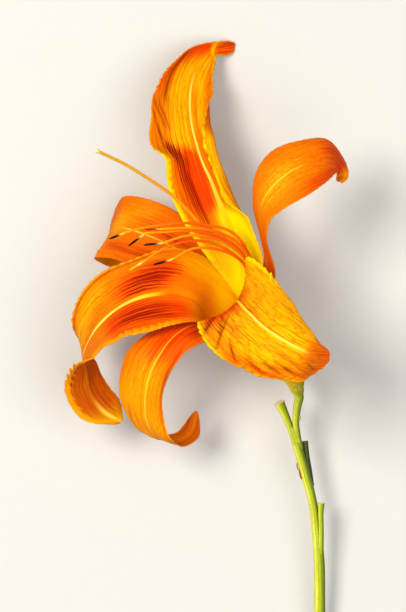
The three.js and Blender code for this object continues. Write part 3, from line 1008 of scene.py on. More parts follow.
@dataclass(frozen=True)
class BladeForm:
    """What all blades' forms have in common.

    Lengths are in mm, waves in mm for each radian, and pairs are where something starts and ends.
    """

    thick: float = 0.55
    rim_thick: float = 0.3
    rim_run: float = 2.0
    keel: float = 0.22
    keel_half: float = 0.7
    keel_inside: float = 0.6
    keel_colour_half: float = 0.6
    keel_fades: tuple[float, float] = (0.75, 1.0)
    rib_gap: float = 1.45
    rib_sway: float = 0.6
    rib_sway_wave: float = 6.0
    pucker: float = 0.1
    pucker_wave: float = 2.1
    pucker_sway: float = 1.3
    pucker_sway_wave: float = 1.7
    inland: tuple[float, float] = (0.4, 2.2)
    above_throat: tuple[float, float] = (0.1, 0.28)
    root: float = 1.4
    tip_width: float = 0.1
    tip_stations: float = 1.25
    ruffle_starts: tuple[float, float] = (0.25, 0.45)
    ruffle_second: float = 0.35
    ruffle_ratio: float = 1.9
    ruffle_power: float = 2.5
    rows_crowd: float = 1.15
    columns_crowd: float = 0.85
    swell_slow_wave: float = 4.9
    swell_quick_wave: float = 1.9
    swell_limits: tuple[float, float] = (0.05, 1.3)
    drift_slow_wave: float = 7.3
    drift_quick_wave: float = 3.1
    short_wave: float = 0.61
    hem_sway: float = 0.3
    hem_edge: tuple[float, float] = (0.55, 1.15)


FORM = BladeForm()


@dataclass(frozen=True)
class Neck:
    """How far a tepal's edges stand from its midrib at the foot and in the throat, in degrees."""

    foot_before: float
    foot_after: float
    throat_before: float
    throat_after: float


@dataclass(frozen=True)
class Ruffle:
    """A margin's waves: their height before and after the midrib in mm, and where they start."""

    before: float
    after: float
    phase: float


@dataclass(frozen=True)
class Fold:
    """The stretch along which the margin before the midrib is turned over, and by how much."""

    start: float
    end: float
    turn: float
    line: float = -0.76
    rise: float = 0.12
    fall: float = 0.34
    roll_share: float = 0.55


@dataclass(frozen=True)
class Rib:
    """The midrib's stripe: half its width in mm low down and higher up, and where it ends.

    It may run beside the middle by an offset in mm, most of all at one place along the blade.
    """

    low: float
    high: float
    start: float
    end: float
    strength: float = 1.0
    offset: float = 0.0
    offset_at: float = 0.37
    narrows_from: float = 0.22
    spread: float = 0.16
    fade_in: float = 0.08
    fade_out: float = 0.12


@dataclass(frozen=True)
class Hem:
    """A yellow, crinkled margin: its side, its stretch along the blade, and its width in mm.

    The crinkles are rounded scallops along the very edge, and waves that reach some way inland.
    Their heights, the waves' length and how far they reach are in mm.
    """

    side: int
    start: float
    end: float
    width: float
    strength: float
    crinkle: float = 0.15
    scallop: float = 0.08
    wave: float = 2.3
    reach: float = 1.6
    scallop_reach: float = 0.7
    fade: float = 0.04


@dataclass(frozen=True)
class Stroke:
    """A soft stroke laid on a blade, from one place along and across it to another.

    Its width is in mm. A furrow's depth is the height of its middle, in mm, below 0.
    """

    start: tuple[float, float]
    end: tuple[float, float]
    width: float
    strength: float
    height: float = 0.0
    soft: float = 0.05

    def on(self, t: np.ndarray, s: np.ndarray, half_mm: np.ndarray) -> np.ndarray:
        """Find how strong the stroke is at each point.

        Args:
            t: places along the blade.
            s: places across it.
            half_mm: the blade's half width there.

        Returns:
            Shares from 0 to 1.
        """
        share = np.clip((t - self.start[0]) / (self.end[0] - self.start[0]), 0.0, 1.0)
        line = self.start[1] + (self.end[1] - self.start[1]) * share
        off = (s - line) * half_mm / self.width
        rise = smoothstep(t, self.start[0] - self.soft, self.start[0] + self.soft)
        fall = 1 - smoothstep(t, self.end[0] - self.soft, self.end[0] + self.soft)
        return np.exp(-(off**2)) * rise * fall


def strokes(*rows: tuple[float, ...]) -> tuple[Stroke, ...]:
    """Make strokes from rows: the start and end along and across, then the rest as in Stroke."""
    return tuple(Stroke(row[:2], row[2:4], *row[4:]) for row in rows)


@dataclass(frozen=True)
class BladeGrid:
    """A blade's middle surface with what is known at each of its points."""

    points: np.ndarray
    normals: np.ndarray
    outs: np.ndarray
    t: np.ndarray
    s: np.ndarray
    across_mm: np.ndarray
    along_mm: np.ndarray
    hem_mm: np.ndarray
    half_mm: np.ndarray


@dataclass
class Tepal:
    """One petal or sepal: a blade through stations of its midrib and of its two edges.

    Places along it run from 0 at its foot to 1 at its tip, and places across it from -1 at the
    edge before the midrib to 1 at the edge after it.
    """

    node: str
    kind: Kind
    clock: float
    seed: float
    ruffle: Ruffle
    rib: Rib
    hems: tuple[Hem, ...]
    # pigment strokes, and furrow strokes with their painted shade
    pigment_and_shade_strokes: dict[Mark, tuple[Stroke, ...]]
    midrib: Stations
    before: Stations
    after: Stations
    net: float | None = None
    neck: Neck | None = None
    fold: Fold | None = None

    @property
    def whorl(self) -> Whorl:
        """The sizes that the tepal shares with its whorl."""
        return WHORLS[self.kind]

    def _line(self, turn: int, stations: Stations) -> SmoothLine:
        """Make one of the blade's three lines, from its foot to its tip.

        Args:
            turn: 0 for the midrib, -1 for the edge before it and 1 for the edge after it.
            stations: what the line passes through beyond the throat.

        Returns:
            The line.
        """
        w = self.whorl
        neck = self.neck or Neck(w.foot_spread, w.foot_spread, w.throat_spread, w.throat_spread)
        foot_turn = turn * (neck.foot_before if turn < 0 else neck.foot_after)
        throat_turn = turn * (neck.throat_before if turn < 0 else neck.throat_after)
        foot = AXIS.round(TUBE_LENGTH + SEAT_GAP, w.ring, self.clock + foot_turn)
        throat_radius = w.throat - turn * w.throat_twist
        throat = AXIS.round(TUBE_LENGTH + THROAT_HEIGHT, throat_radius, self.clock + throat_turn)
        return SmoothLine(np.vstack([foot, throat, DRAWING.place(stations)]))

    def _ruffle_at(self, t: np.ndarray, side: np.ndarray) -> np.ndarray:
        """Find the margins' ruffles.

        Args:
            t: places along the blade.
            side: the margin at each of them, -1 before the midrib and 1 after it.

        Returns:
            How far the margin stands inward, in mm.
        """
        r = self.ruffle
        height = np.where(side < 0, r.before, r.after)
        turn = TURN * self.whorl.waves * t + r.phase + side
        wave = np.sin(turn) + FORM.ruffle_second * np.sin(FORM.ruffle_ratio * turn + r.phase)
        return height * smoothstep(t, *FORM.ruffle_starts) * wave

    def _surface(self, t: np.ndarray, s: np.ndarray) -> np.ndarray:
        """Find the blade's middle surface.

        Args:
            t: places along the blade, one for each row.
            s: places across it, one for each column.

        Returns:
            The surface's points in mm, row by row.
        """
        midrib = self._line(0, self.midrib)
        middle = midrib.at(t)
        along = midrib.way(t)
        round_from = 1 - FORM.tip_stations / (len(self.midrib) + 1)
        beyond = np.maximum(0.0, (t - round_from) / (1 - round_from))
        arch = np.sqrt(np.maximum(0.0, 1 - beyond**2))
        width = (FORM.tip_width + (1 - FORM.tip_width) * arch)[:, None]
        left = (self._line(-1, self.before).at(t) - middle) * width
        right = (self._line(1, self.after).at(t) - middle) * width
        half = (right - left) / 2
        bow = (right + left) / 2
        across = s[None, :, None]
        out = half[:, None] + 2 * across * bow[:, None]
        inward = unit(np.cross(along[:, None], out))
        tt, ss = np.meshgrid(t, s, indexing="ij")
        lift = self._ruffle_at(tt, np.sign(ss)) * np.abs(ss) ** FORM.ruffle_power * width
        grid = middle[:, None] + across * half[:, None] + across**2 * bow[:, None]
        grid = grid + inward * lift[..., None]
        if self.fold:
            self._turn_margin(grid, t, s, along)
        return grid

    def _turn_margin(
        self, grid: np.ndarray, t: np.ndarray, s: np.ndarray, along: np.ndarray
    ) -> None:
        """Turn the strip outside the fold line over on to the inner face.

        Args:
            grid: the surface's points, which are changed in place.
            t: the rows' parameters.
            s: the columns' places across the blade.
            along: the rows' directions.
        """
        fold = self.fold
        start = int(np.argmin(np.abs(s - fold.line)))
        rise = smoothstep(t, fold.start, fold.start + fold.rise)
        fall = 1 - smoothstep(t, fold.end - fold.fall, fold.end)
        turn = math.radians(fold.turn) * rise * fall
        outward = unit(grid[:, start] - grid[:, start + 1])
        inner = unit(np.cross(outward, along))
        steps = np.linalg.norm(np.diff(grid[:, : start + 1], axis=1), axis=2)
        for j in range(start - 1, -1, -1):
            share = min(1.0, (start - j) / start / fold.roll_share)
            angle = (turn * share)[:, None]
            way = outward * np.cos(angle) + inner * np.sin(angle)
            moved = grid[:, j + 1] + way * steps[:, j][:, None]
            grid[:, j] = np.where(turn[:, None] > 0, moved, grid[:, j])

    def _grid(self) -> BladeGrid:
        """Lay the middle surface out, with a root that reaches into the tube's mouth.

        Returns:
            The surface with what is known at each of its points.
        """
        w = self.whorl
        t = 1 - (1 - np.linspace(0, 1, w.rows + 1)) ** FORM.rows_crowd
        s = np.linspace(-1, 1, w.columns)
        s = np.sign(s) * np.abs(s) ** FORM.columns_crowd
        points = self._surface(t, s)
        down = unit(points[0] - points[3]) * FORM.root
        points = np.concatenate([(points[0] + down)[None], (points[0] + down / 2)[None], points])
        t = np.concatenate([[0.0, 0.0], t])
        over = np.gradient(points, axis=1)
        normals = unit(np.cross(np.gradient(points, axis=0), over))
        steps = np.linalg.norm(np.diff(points, axis=1), axis=2)
        reach = np.concatenate([np.zeros((len(t), 1)), np.cumsum(steps, axis=1)], axis=1)
        middle = len(s) // 2
        across_mm = reach - reach[:, middle : middle + 1]
        travel = np.linalg.norm(np.diff(points, axis=0), axis=2)
        along_mm = np.concatenate([np.zeros((1, len(s))), np.cumsum(travel, axis=0)], axis=0)
        side = s[None, :] < 0
        half_mm = np.where(side, -across_mm[:, :1], across_mm[:, -1:])
        tt, ss = np.meshgrid(t, s, indexing="ij")
        outs = unit(over) * np.where(side, -1.0, 1.0)[..., None]
        hem_mm = np.minimum(reach, reach[:, -1:] - reach)
        return BladeGrid(points, normals, outs, tt, ss, across_mm, along_mm, hem_mm, half_mm)

    def _off_rib(self, g: BladeGrid) -> np.ndarray:
        """Find how far each point lies beside the midrib, in mm."""
        r = self.rib
        return g.across_mm - r.offset * np.exp(-(((g.t - r.offset_at) / r.spread) ** 2))

    def _swell(self, g: BladeGrid, hem: Hem) -> np.ndarray:
        """Find how strong a margin's crinkles are from place to place.

        Args:
            g: the blade's grid.
            hem: the margin.

        Returns:
            Strengths about 0.5.
        """
        slow = 0.5 + 0.55 * np.sin(g.along_mm / FORM.swell_slow_wave + 1.7 * self.seed + hem.side)
        quick = 0.3 * np.sin(g.along_mm / FORM.swell_quick_wave + self.seed)
        return np.clip(slow + quick, *FORM.swell_limits)

    def _drift(self, g: BladeGrid) -> np.ndarray:
        """Find how far a margin's crinkles run ahead or behind, in radians."""
        slow = 1.4 * np.sin(g.along_mm / FORM.drift_slow_wave + self.seed)
        return slow + 0.9 * np.sin(g.along_mm / FORM.drift_quick_wave + self.seed)

    def _waves(self, g: BladeGrid, hem: Hem) -> np.ndarray:
        """Find the uneven waves of a crinkled margin.

        Args:
            g: the blade's grid.
            hem: the margin.

        Returns:
            Heights from about -1 to 1.
        """
        drift = self._drift(g)
        wave = np.sin(TURN * g.along_mm / hem.wave + drift + 2 * hem.side)
        short = FORM.short_wave * hem.wave
        wave += 0.5 * np.sin(TURN * g.along_mm / short - 1.4 * drift + self.seed)
        return wave * self._swell(g, hem)

    def _scallops(self, g: BladeGrid, hem: Hem) -> np.ndarray:
        """Find the rounded scallops of a crinkled margin, from -1 in a notch to 1 on a crest."""
        phase = math.pi * g.along_mm / hem.wave + 0.8 * self._drift(g) + hem.side
        return (2 * np.abs(np.sin(phase)) - 1) * (0.45 + 0.55 * self._swell(g, hem))

    def _hem_at(self, g: BladeGrid, hem: Hem, width: float) -> np.ndarray:
        """Find how near each point is to a stretch of margin.

        Args:
            g: the blade's grid.
            hem: the margin.
            width: how far in it counts, in mm.

        Returns:
            Shares from 0 far from it to 1 on its edge.
        """
        side = g.s < 0 if hem.side < 0 else g.s > 0
        rise = smoothstep(g.t, hem.start - hem.fade, hem.start + hem.fade)
        fall = 1 - smoothstep(g.t, hem.end - hem.fade, hem.end + hem.fade)
        return np.exp(-((g.hem_mm / width) ** 2)) * side * rise * fall

    def _relief(self, g: BladeGrid) -> np.ndarray:
        """Work out how each point moves for ribs, crinkles and creases.

        Args:
            g: the blade's grid.

        Returns:
            The moves in mm.
        """
        inland = smoothstep(g.hem_mm, *FORM.inland) * smoothstep(g.t, *FORM.above_throat)
        sway = FORM.rib_sway * np.sin(g.along_mm / FORM.rib_sway_wave)
        ribs = np.cos(TURN * g.across_mm / FORM.rib_gap + sway)
        sway = FORM.pucker_sway * np.sin(g.across_mm / FORM.pucker_sway_wave + self.seed)
        pucker = np.sin(g.along_mm / FORM.pucker_wave + sway)
        lift = self.whorl.ribs_mm * ribs * inland + FORM.pucker * pucker * inland
        push = np.zeros_like(lift)
        for hem in self.hems:
            lift += hem.crinkle * self._waves(g, hem) * self._hem_at(g, hem, hem.reach)
            push += hem.scallop * self._scallops(g, hem) * self._hem_at(g, hem, hem.scallop_reach)
        for stroke in self.pigment_and_shade_strokes.get(Mark.CREASE_AND_PAINTED_SHADE, ()):
            lift += stroke.height * stroke.on(g.t, g.s, g.half_mm)
        return g.normals * lift[..., None] + g.outs * push[..., None]

    def _pigment_at(self, g: BladeGrid, mark: Mark) -> np.ndarray:
        """Lay the strokes of one mark over one another; the furrow strokes are painted shade.

        Args:
            g: the blade's grid.
            mark: the pigment's mark.

        Returns:
            Shares from 0 to 1.
        """
        total = np.zeros_like(g.t)
        for stroke in self.pigment_and_shade_strokes.get(mark, ()):
            total += stroke.strength * stroke.on(g.t, g.s, g.half_mm)
        return np.clip(total, 0.0, 1.0)

    def _marks(self, g: BladeGrid) -> Marks:
        """Work out what the tissue is told at each point.

        Args:
            g: the blade's grid.

        Returns:
            Places along and across in mm, the strengths of each pigment, and the painted furrow
            shade.
        """
        r = self.rib
        narrowing = np.exp(-((np.maximum(g.t - r.narrows_from, 0) / r.spread) ** 2))
        half = r.high + (r.low - r.high) * narrowing
        rib = 1 - smoothstep(g.t, r.end - r.fade_out, r.end)
        rib *= r.strength * smoothstep(g.t, r.start - r.fade_in, r.start)
        hem = np.zeros_like(g.t)
        for band in self.hems:
            width = band.width * (1 + FORM.hem_sway * self._waves(g, band))
            near = 1 - smoothstep(g.hem_mm, *(edge * width for edge in FORM.hem_edge))
            hem = np.maximum(hem, band.strength * near * self._hem_at(g, band, 3 * band.width))
        marks = {
            Mark.ALONG: g.t,
            Mark.ACROSS_MM: g.across_mm,
            Mark.ALONG_MM: g.along_mm,
            Mark.RIB: np.clip(rib, 0, 1),
            Mark.OFF_RIB: self._off_rib(g) / half,
            Mark.KEEL: np.exp(-((self._off_rib(g) / FORM.keel_colour_half) ** 2)),
            Mark.HEM: np.clip(hem, 0, 1),
            Mark.NET: np.full_like(g.t, self.whorl.net if self.net is None else self.net),
            Mark.SEED: np.full_like(g.t, self.seed),
        }
        # the furrow mark carries painted shade for the furrows
        for mark in (Mark.YELLOW, Mark.GOLD, Mark.EYE, Mark.CORE, Mark.CREASE_AND_PAINTED_SHADE):
            marks[mark] = self._pigment_at(g, mark)
        return marks

    def build(self, tissue: bpy.types.Material) -> bpy.types.Object:
        """Make the blade with its ribs, crinkled margins and marks, in place of its solid.

        Args:
            tissue: what the blade is made of.

        Returns:
            The blade.
        """
        g = self._grid()
        middle = g.points + self._relief(g)
        body = smoothstep(g.hem_mm, 0, FORM.rim_run)
        thick = FORM.rim_thick + (FORM.thick - FORM.rim_thick) * body
        thick = np.minimum(thick, g.half_mm * 1.2 + 0.02)
        keel = np.exp(-((self._off_rib(g) / FORM.keel_half) ** 2)) * FORM.keel
        keel = keel * (1 - smoothstep(g.t, *FORM.keel_fades))
        inner = middle + g.normals * (thick / 2 - keel * FORM.keel_inside)[..., None]
        outer = middle - g.normals * (thick / 2 + keel)[..., None]
        points = np.concatenate([inner.reshape(-1, 3), outer.reshape(-1, 3)])
        points[:, 2] = np.maximum(points[:, 2], 0.0)
        marks = {mark: np.tile(values.ravel(), 2) for mark, values in self._marks(g).items()}
        marks[Mark.OUTER] = np.repeat([0.0, 1.0], g.t.size)
        shape = Shape(points, blade_faces(*g.t.shape), marks)
        return shape.make(f"{self.node}_blade", self.node, f"{self.kind.value}_tissue", tissue)


TEPALS = [
    Tepal(
        node="petal_top", kind=Kind.PETAL, clock=132, seed=1, ruffle=Ruffle(0.25, 0.35, 0.4),
        rib=Rib(1.6, 0.36, 0.16, 0.86, offset=-1.35), neck=Neck(54, 30, 57, 25),
        fold=Fold(0.28, 0.82, 165),
        hems=(
            Hem(-1, 0.2, 0.35, 1.2, 1, 0.1, 0.08, 3.4), Hem(-1, 0.36, 0.46, 1.6, 1, 0.25, 0.3, 3.6),
            Hem(-1, 0.46, 0.74, 0.6, 1, 0.25, 0.3, 3.6),
            Hem(-1, 0.74, 0.97, 0.6, 0.9, 0.15, 0.12, 3), Hem(1, 0.04, 0.54, 1.4, 1, 0.08, 0.04),
            Hem(1, 0.54, 0.72, 0.45, 0.8, 0.15, 0.05), Hem(1, 0.72, 1, 0.4, 0.35, 0.15, 0.05),
        ),
        pigment_and_shade_strokes={
            Mark.YELLOW: strokes(
                (0.9, -1, 0.96, 1, 1, 0.7, 0, 0.02), (0, -0.1, 0.335, -0.16, 3.6, 1, 0, 0.025),
                (0, 0.3, 0.24, 0.3, 6, 0.4), (0, -0.7, 0.32, -0.62, 4.5, 1.1, 0, 0.03),
            ),
            Mark.GOLD: strokes(
                (0.5, 0.35, 0.86, 0.35, 3.9, 1.3), (0.12, -1, 0.62, -1, 2.4, 0.8),
                (0.42, -0.9, 0.6, -0.9, 2.4, 0.6), (0.84, -0.3, 0.93, -0.3, 3, 0.8, 0, 0.02),
                (0.56, -0.5, 0.88, -0.4, 2.6, 1), (0.2, 1, 0.54, 1, 1.4, 1.3),
                (0, 0.1, 0.24, -0.1, 8, 1.3, 0, 0.06), (0.2, -0.2, 0.33, -0.2, 3.6, 1),
            ),
            Mark.EYE: strokes(
                (0.305, 0.36, 0.57, 0.46, 4.1, 1.1), (0.37, 0.1, 0.56, 0.15, 2.6, 0.9),
                (0.33, -0.6, 0.55, -0.42, 1.7, 1.35, 0, 0.02), (0.74, 0.9, 0.97, 0.9, 2.4, 0.6),
                (0.9, 0.2, 1.1, 0, 6, 0.7),
            ),
            Mark.CORE: strokes(
                (0.38, 0.55, 0.56, 0.58, 2, 0.95, 0, 0.06),
                (0.29, 0.46, 0.39, 0.5, 2, 0.6, 0, 0.04), (0.5, 0.6, 0.59, 0.72, 1.8, 0.8, 0, 0.03),
                (0.93, 0.3, 1.1, 0.1, 3, 0.45),
            ),
            Mark.CREASE_AND_PAINTED_SHADE: strokes(
                (0.9, -1, 0.96, 1, 0.9, 0, 0.3, 0.02),
                (0.73, 0.68, 0.91, 0.9, 0.7, 0.8, -0.55, 0.03),
                (0.64, 0.68, 0.745, 0.99, 0.35, 0.65, -0.3, 0.02),
                (0.64, 0.6, 0.73, 0.85, 0.35, 0.65, -0.3, 0.02),
                (0.6, 0.74, 0.705, 0.99, 0.35, 0.65, -0.3, 0.02),
                (0.56, 0.72, 0.64, 0.84, 0.4, 0.6, -0.2, 0.02),
            ),
        },
        midrib=[
            (243, 262, 33), (231, 237, 32.5), (219, 211, 30), (207, 181, 27), (201, 164, 25),
            (196, 145, 22), (191, 121, 18), (190, 96, 12.5), (195, 73, 7.5), (209, 54, 3),
            (234.5, 47.5, 0.36),
        ],
        before=[
            (262.5, 259, 39.5), (253.3, 232, 40), (241.5, 204, 39), (229, 175, 36.5),
            (223, 158, 34), (217.5, 140, 31), (213, 122, 26), (212.3, 101, 20.5), (212, 77, 12.5),
            (218.5, 56, 6), (235, 57, 1.4),
        ],
        after=[
            (214, 266, 32.5), (197, 243, 32.5), (181, 218, 32), (169, 187, 31), (164.5, 160, 29.5),
            (151, 143, 26), (150.5, 119, 22.5), (154.8, 94, 19), (169.3, 66, 14), (195.5, 47, 7.5),
            (237.5, 33, 2.4),
        ],
    ),
    Tepal(
        node="petal_front", kind=Kind.PETAL, clock=10, seed=2, ruffle=Ruffle(0.5, 0.15, 2),
        rib=Rib(0.5, 0.42, 0.3, 0.88), net=0.7,
        hems=(
            Hem(-1, 0.26, 0.5, 0.9, 0.9, 0.4, 0.25, 3.4, 2.4),
            Hem(-1, 0.5, 0.97, 0.5, 0.7, 0.35, 0.12, 2.7, 2.6),
            Hem(1, 0.18, 0.5, 1.9, 1, 0.3, 0.2, 2.9), Hem(1, 0.42, 0.95, 0.3, 0.3, 0.06, 0.02, 3.1),
        ),
        pigment_and_shade_strokes={
            Mark.GOLD: strokes(
                (0.3, 0.9, 0.56, 0.7, 5, 1.6), (0.4, 0.15, 0.82, 0.15, 7.5, 1.6),
                (0.37, -0.5, 0.7, -0.45, 4.2, 1.1, 0, 0.03), (0.3, 0.8, 0.8, 0.8, 4, 1.6),
                (0.55, -0.95, 0.9, -0.9, 1.2, 0.3, 0, 0.03), (0.3, -1, 0.52, -1, 1.6, 1.4, 0, 0.03),
            ),
            Mark.EYE: strokes(
                (0.2, -0.6, 0.34, -0.7, 2.6, 0.85, 0, 0.03),
                (0.2, -0.2, 0.345, -0.2, 6, 0.9, 0, 0.02), (0.5, -0.9, 0.97, -0.85, 1.1, 0.35),
                (0.9, 0.2, 1.1, 0.2, 5, 0.4),
            ),
            Mark.CORE: strokes(
                (0.34, -0.5, 0.42, -0.7, 1, 0.7), (0.29, -0.66, 0.37, -0.88, 1.2, 0.7, 0, 0.02),
            ),
            Mark.CREASE_AND_PAINTED_SHADE: strokes(
                (0.3, -0.62, 0.38, -0.98, 0.5, 0.6, -0.45, 0.02),
                (0.36, -0.4, 0.46, -0.93, 0.7, 0.7, -0.5, 0.02),
                (0.5, -0.72, 0.57, -0.93, 0.5, 0.7, -0.35, 0.02),
                (0.58, -0.78, 0.68, -0.9, 0.5, 0.6, -0.3, 0.02),
                (0.66, -0.7, 0.76, -0.86, 0.4, 0.6, -0.25, 0.02),
                (0.76, -0.7, 0.86, -0.86, 0.4, 0.6, -0.25, 0.02),
                (0.86, -0.4, 0.92, -0.8, 0.4, 0.6, -0.25, 0.02),
                (0.47, -0.62, 0.54, -0.84, 0.28, 0.5, -0.16, 0.02),
                (0.55, -0.6, 0.63, -0.8, 0.25, 0.45, -0.14, 0.02),
                (0.62, -0.58, 0.72, -0.78, 0.25, 0.45, -0.14, 0.02),
                (0.71, -0.58, 0.81, -0.8, 0.28, 0.5, -0.16, 0.02),
                (0.8, -0.54, 0.88, -0.8, 0.28, 0.5, -0.16, 0.02),
                (0.42, 0.05, 0.76, 0.045, 0.16, 0.4, -0.12, 0.03),
            ),
        },
        midrib=[
            (237.5, 301.5, 57), (247, 311, 68), (265, 328, 76), (287, 342, 79), (309, 353, 76),
            (329, 356, 70),
        ],
        before=[
            (199, 322, 52.6), (207.5, 345.5, 64), (234.5, 365.5, 72), (268, 378, 75),
            (302, 380.5, 72), (329.5, 371.5, 66),
        ],
        after=[
            (246, 258.5, 51), (264.5, 268, 60), (287.5, 295.5, 68), (304, 321, 73), (319, 341, 73),
            (332.5, 348.5, 69),
        ],
    ),
    Tepal(
        node="petal_left", kind=Kind.PETAL, clock=250, seed=3, ruffle=Ruffle(0.35, 0.3, 4.1),
        rib=Rib(0.85, 0.5, 0.34, 0.95), neck=Neck(54, 54, 92, 60),
        hems=(
            Hem(-1, 0.2, 0.6, 0.45, 1, 0.25, 0.2, 2.5), Hem(-1, 0.62, 1, 0.35, 0.35, 0.1, 0.04),
            Hem(1, 0.24, 0.56, 1.7, 1, 0.15, 0.08, 2.1), Hem(1, 0.56, 1, 2.2, 1, 0.4, 0.08, 3, 2.6),
        ),
        pigment_and_shade_strokes={
            Mark.GOLD: strokes(
                (0.46, -0.72, 0.66, -0.4, 3.2, 0.8), (0, 0, 0.2, 0, 9, 0.3, 0, 0.08),
                (0.05, -0.85, 0.23, -0.85, 4, 1),
            ),
            Mark.EYE: strokes(
                (0.26, -0.48, 0.42, -0.3, 4.1, 1.25), (0.2, 0.52, 0.5, 0.44, 4.4, 1.25),
            ),
            Mark.CORE: strokes(
                (0.27, -0.46, 0.4, -0.28, 3.2, 0.9), (0.25, 0.56, 0.45, 0.42, 3.7, 0.65, 0, 0.06),
            ),
            Mark.CREASE_AND_PAINTED_SHADE: strokes(
                (0.28, -0.94, 0.62, -0.92, 0.26, 0.7, -0.2, 0.04),
                (0.7, -0.1, 0.88, -0.1, 3.6, 0.42, 0, 0.06),
            ),
        },
        midrib=[
            (195, 301, 39.5), (168, 294, 41), (140, 298, 41.5), (113, 312, 40), (95, 331, 37),
            (84, 353, 32), (85, 372, 28), (89, 392, 25.5), (103, 411, 24), (121, 422, 23),
        ],
        before=[
            (214, 263, 29.2), (175, 248, 36), (133, 259, 36.5), (96, 277.3, 32.5),
            (72, 313.5, 28.5), (82, 343, 22), (96, 364, 22), (108, 385, 22), (120.5, 402, 22),
            (128, 417, 22),
        ],
        after=[
            (198, 322, 47.5), (171, 325, 48.5), (145, 332.5, 49), (120, 338.5, 48.5),
            (104.5, 347.5, 45.5), (93.5, 357.5, 42.5), (74, 366.5, 36.5), (64.5, 391.5, 30),
            (83, 420, 26), (116, 429, 24),
        ],
    ),
    Tepal(
        node="sepal_right", kind=Kind.SEPAL, clock=74, seed=4, ruffle=Ruffle(0.1, 0.1, 0.9),
        rib=Rib(0.22, 0.2, 0.34, 0.64, 0.9), net=0.85,
        hems=(
            Hem(1, 0.3, 0.9, 0.4, 0.15, 0.08, 0.04), Hem(-1, 0.3, 0.9, 0.4, 0.3, 0.08, 0.04),
        ),
        pigment_and_shade_strokes={
            Mark.GOLD: strokes(
                (0.36, -0.1, 0.6, 0.1, 4.5, 1, 0, 0.1), (0.86, -0.5, 1.2, -0.4, 6, 1.4, 0, 0.03),
            ),
            Mark.EYE: strokes(
                (0.1, 0, 0.3, 0, 6, 0.5), (0.7, 0.5, 0.86, 0.3, 4, 0.8, 0, 0.06),
                (0.56, -0.9, 0.85, -0.7, 2.5, 0.7),
            ),
            Mark.CORE: strokes((0.7, 0.4, 0.86, 0.1, 3, 0.35)),
        },
        midrib=[
            (270, 264, 45), (263, 238, 50), (261, 211, 54), (270, 190, 56), (289, 172.5, 56),
            (312, 162.5, 53.5), (329, 158, 49), (340, 165, 43), (344, 175, 38.5), (341, 182, 41),
        ],
        before=[
            (275, 274, 50), (267, 243, 57), (270, 221, 60), (284, 209, 58), (306, 196, 55),
            (325, 183, 51), (335, 174, 46), (337, 173.5, 41), (336, 179, 38), (333, 181, 42),
        ],
        after=[
            (264.5, 258, 36.5), (259.3, 232, 44), (253, 204, 49), (256, 174, 51.5),
            (273, 150.5, 52), (303, 140, 50), (327, 140, 46), (343.5, 158.5, 40), (348.5, 176, 38),
            (342, 186, 42),
        ],
    ),
    Tepal(
        node="sepal_lower", kind=Kind.SEPAL, clock=298, seed=5, ruffle=Ruffle(0.1, 0.1, 3.3),
        rib=Rib(0.26, 0.2, 0.22, 0.8, 0.8),
        hems=(
            Hem(1, 0.2, 0.9, 0.35, 0.3, 0.06, 0.03), Hem(-1, 0.2, 0.9, 0.35, 0.3, 0.06, 0.03),
        ),
        pigment_and_shade_strokes={
            Mark.GOLD: strokes(
                (0.4, -0.2, 0.78, -0.2, 5, 1.2, 0, 0.08), (0.5, -0.9, 0.74, -0.8, 2, 0.6, 0, 0.08),
                (0.5, 0.5, 0.72, 0.5, 3, 0.9, 0, 0.06),
            ),
            Mark.EYE: strokes(
                (0.08, 0, 0.36, -0.1, 6.5, 1, 0, 0.09), (0.88, 0, 1.2, 0, 6, 0.9),
                (0.3, 0.8, 0.7, 0.9, 1.2, 0.4),
            ),
            Mark.CORE: strokes((0.1, 0.5, 0.24, 0.5, 1.8, 0.6), (0.1, -0.4, 0.22, -0.4, 2, 0.4)),
        },
        midrib=[
            (198, 325, 41.5), (177, 334, 44.6), (159, 356, 46), (149, 377, 44.5), (145, 400, 41.5),
            (147, 421, 36.5), (158, 438, 30.5), (176, 440, 25), (190, 431, 21.5), (196.5, 411, 20),
        ],
        before=[
            (186, 312, 37), (160, 326, 39), (131, 347, 43), (121, 372, 41), (121, 400, 38),
            (131, 421, 32.5), (147, 434, 27), (172, 434, 27), (183, 426, 24), (190, 412, 21.5),
        ],
        after=[
            (212, 340, 44), (190, 349, 47.6), (177, 362, 46), (168, 377, 42.5), (162, 400, 39),
            (164, 421, 36), (171, 439, 34), (183, 446.5, 25), (199, 437, 20), (202, 416, 19),
        ],
    ),
    Tepal(
        node="sepal_back", kind=Kind.SEPAL, clock=192, seed=6, ruffle=Ruffle(0.1, 0.1, 5.2),
        rib=Rib(0.35, 0.3, 0.28, 0.6, 0.8),
        hems=(
            Hem(-1, 0.3, 0.9, 0.3, 0.2, 0.06, 0.03),
        ),
        pigment_and_shade_strokes={
            Mark.GOLD: strokes(
                (0.4, -0.6, 0.6, -0.2, 3, 0.5), (0.54, -0.1, 0.66, 0.1, 3.4, 0.8, 0, 0.04),
                (0.64, 0.8, 1.2, 0.8, 6, 0.9),
            ),
            Mark.EYE: strokes(
                (0.2, -0.1, 0.46, -0.3, 3, 0.6, 0, 0.08), (0.26, 0.6, 0.62, 0.6, 2, 0.5, 0, 0.08),
            ),
            Mark.CORE: strokes((0.28, -0.2, 0.38, -0.3, 1.2, 0.5)),
            Mark.CREASE_AND_PAINTED_SHADE: strokes(
                (0.36, 0.66, 0.6, 0.6, 0.6, 0.5, -0.25, 0.04),
                (0.4, 0.82, 0.66, 0.8, 0.5, 0, 0.3, 0.04),
            ),
        },
        midrib=[
            (196, 262, 25.5), (165, 243, 26.5), (140, 232.5, 25), (121.5, 227.5, 20.5),
            (112, 229, 13), (109.5, 236, 5.5), (114.5, 243, 0.9), (124, 249, 0.2),
        ],
        before=[
            (215, 240, 22), (180, 214, 24), (151, 200, 24), (126, 196, 20), (118, 205, 13),
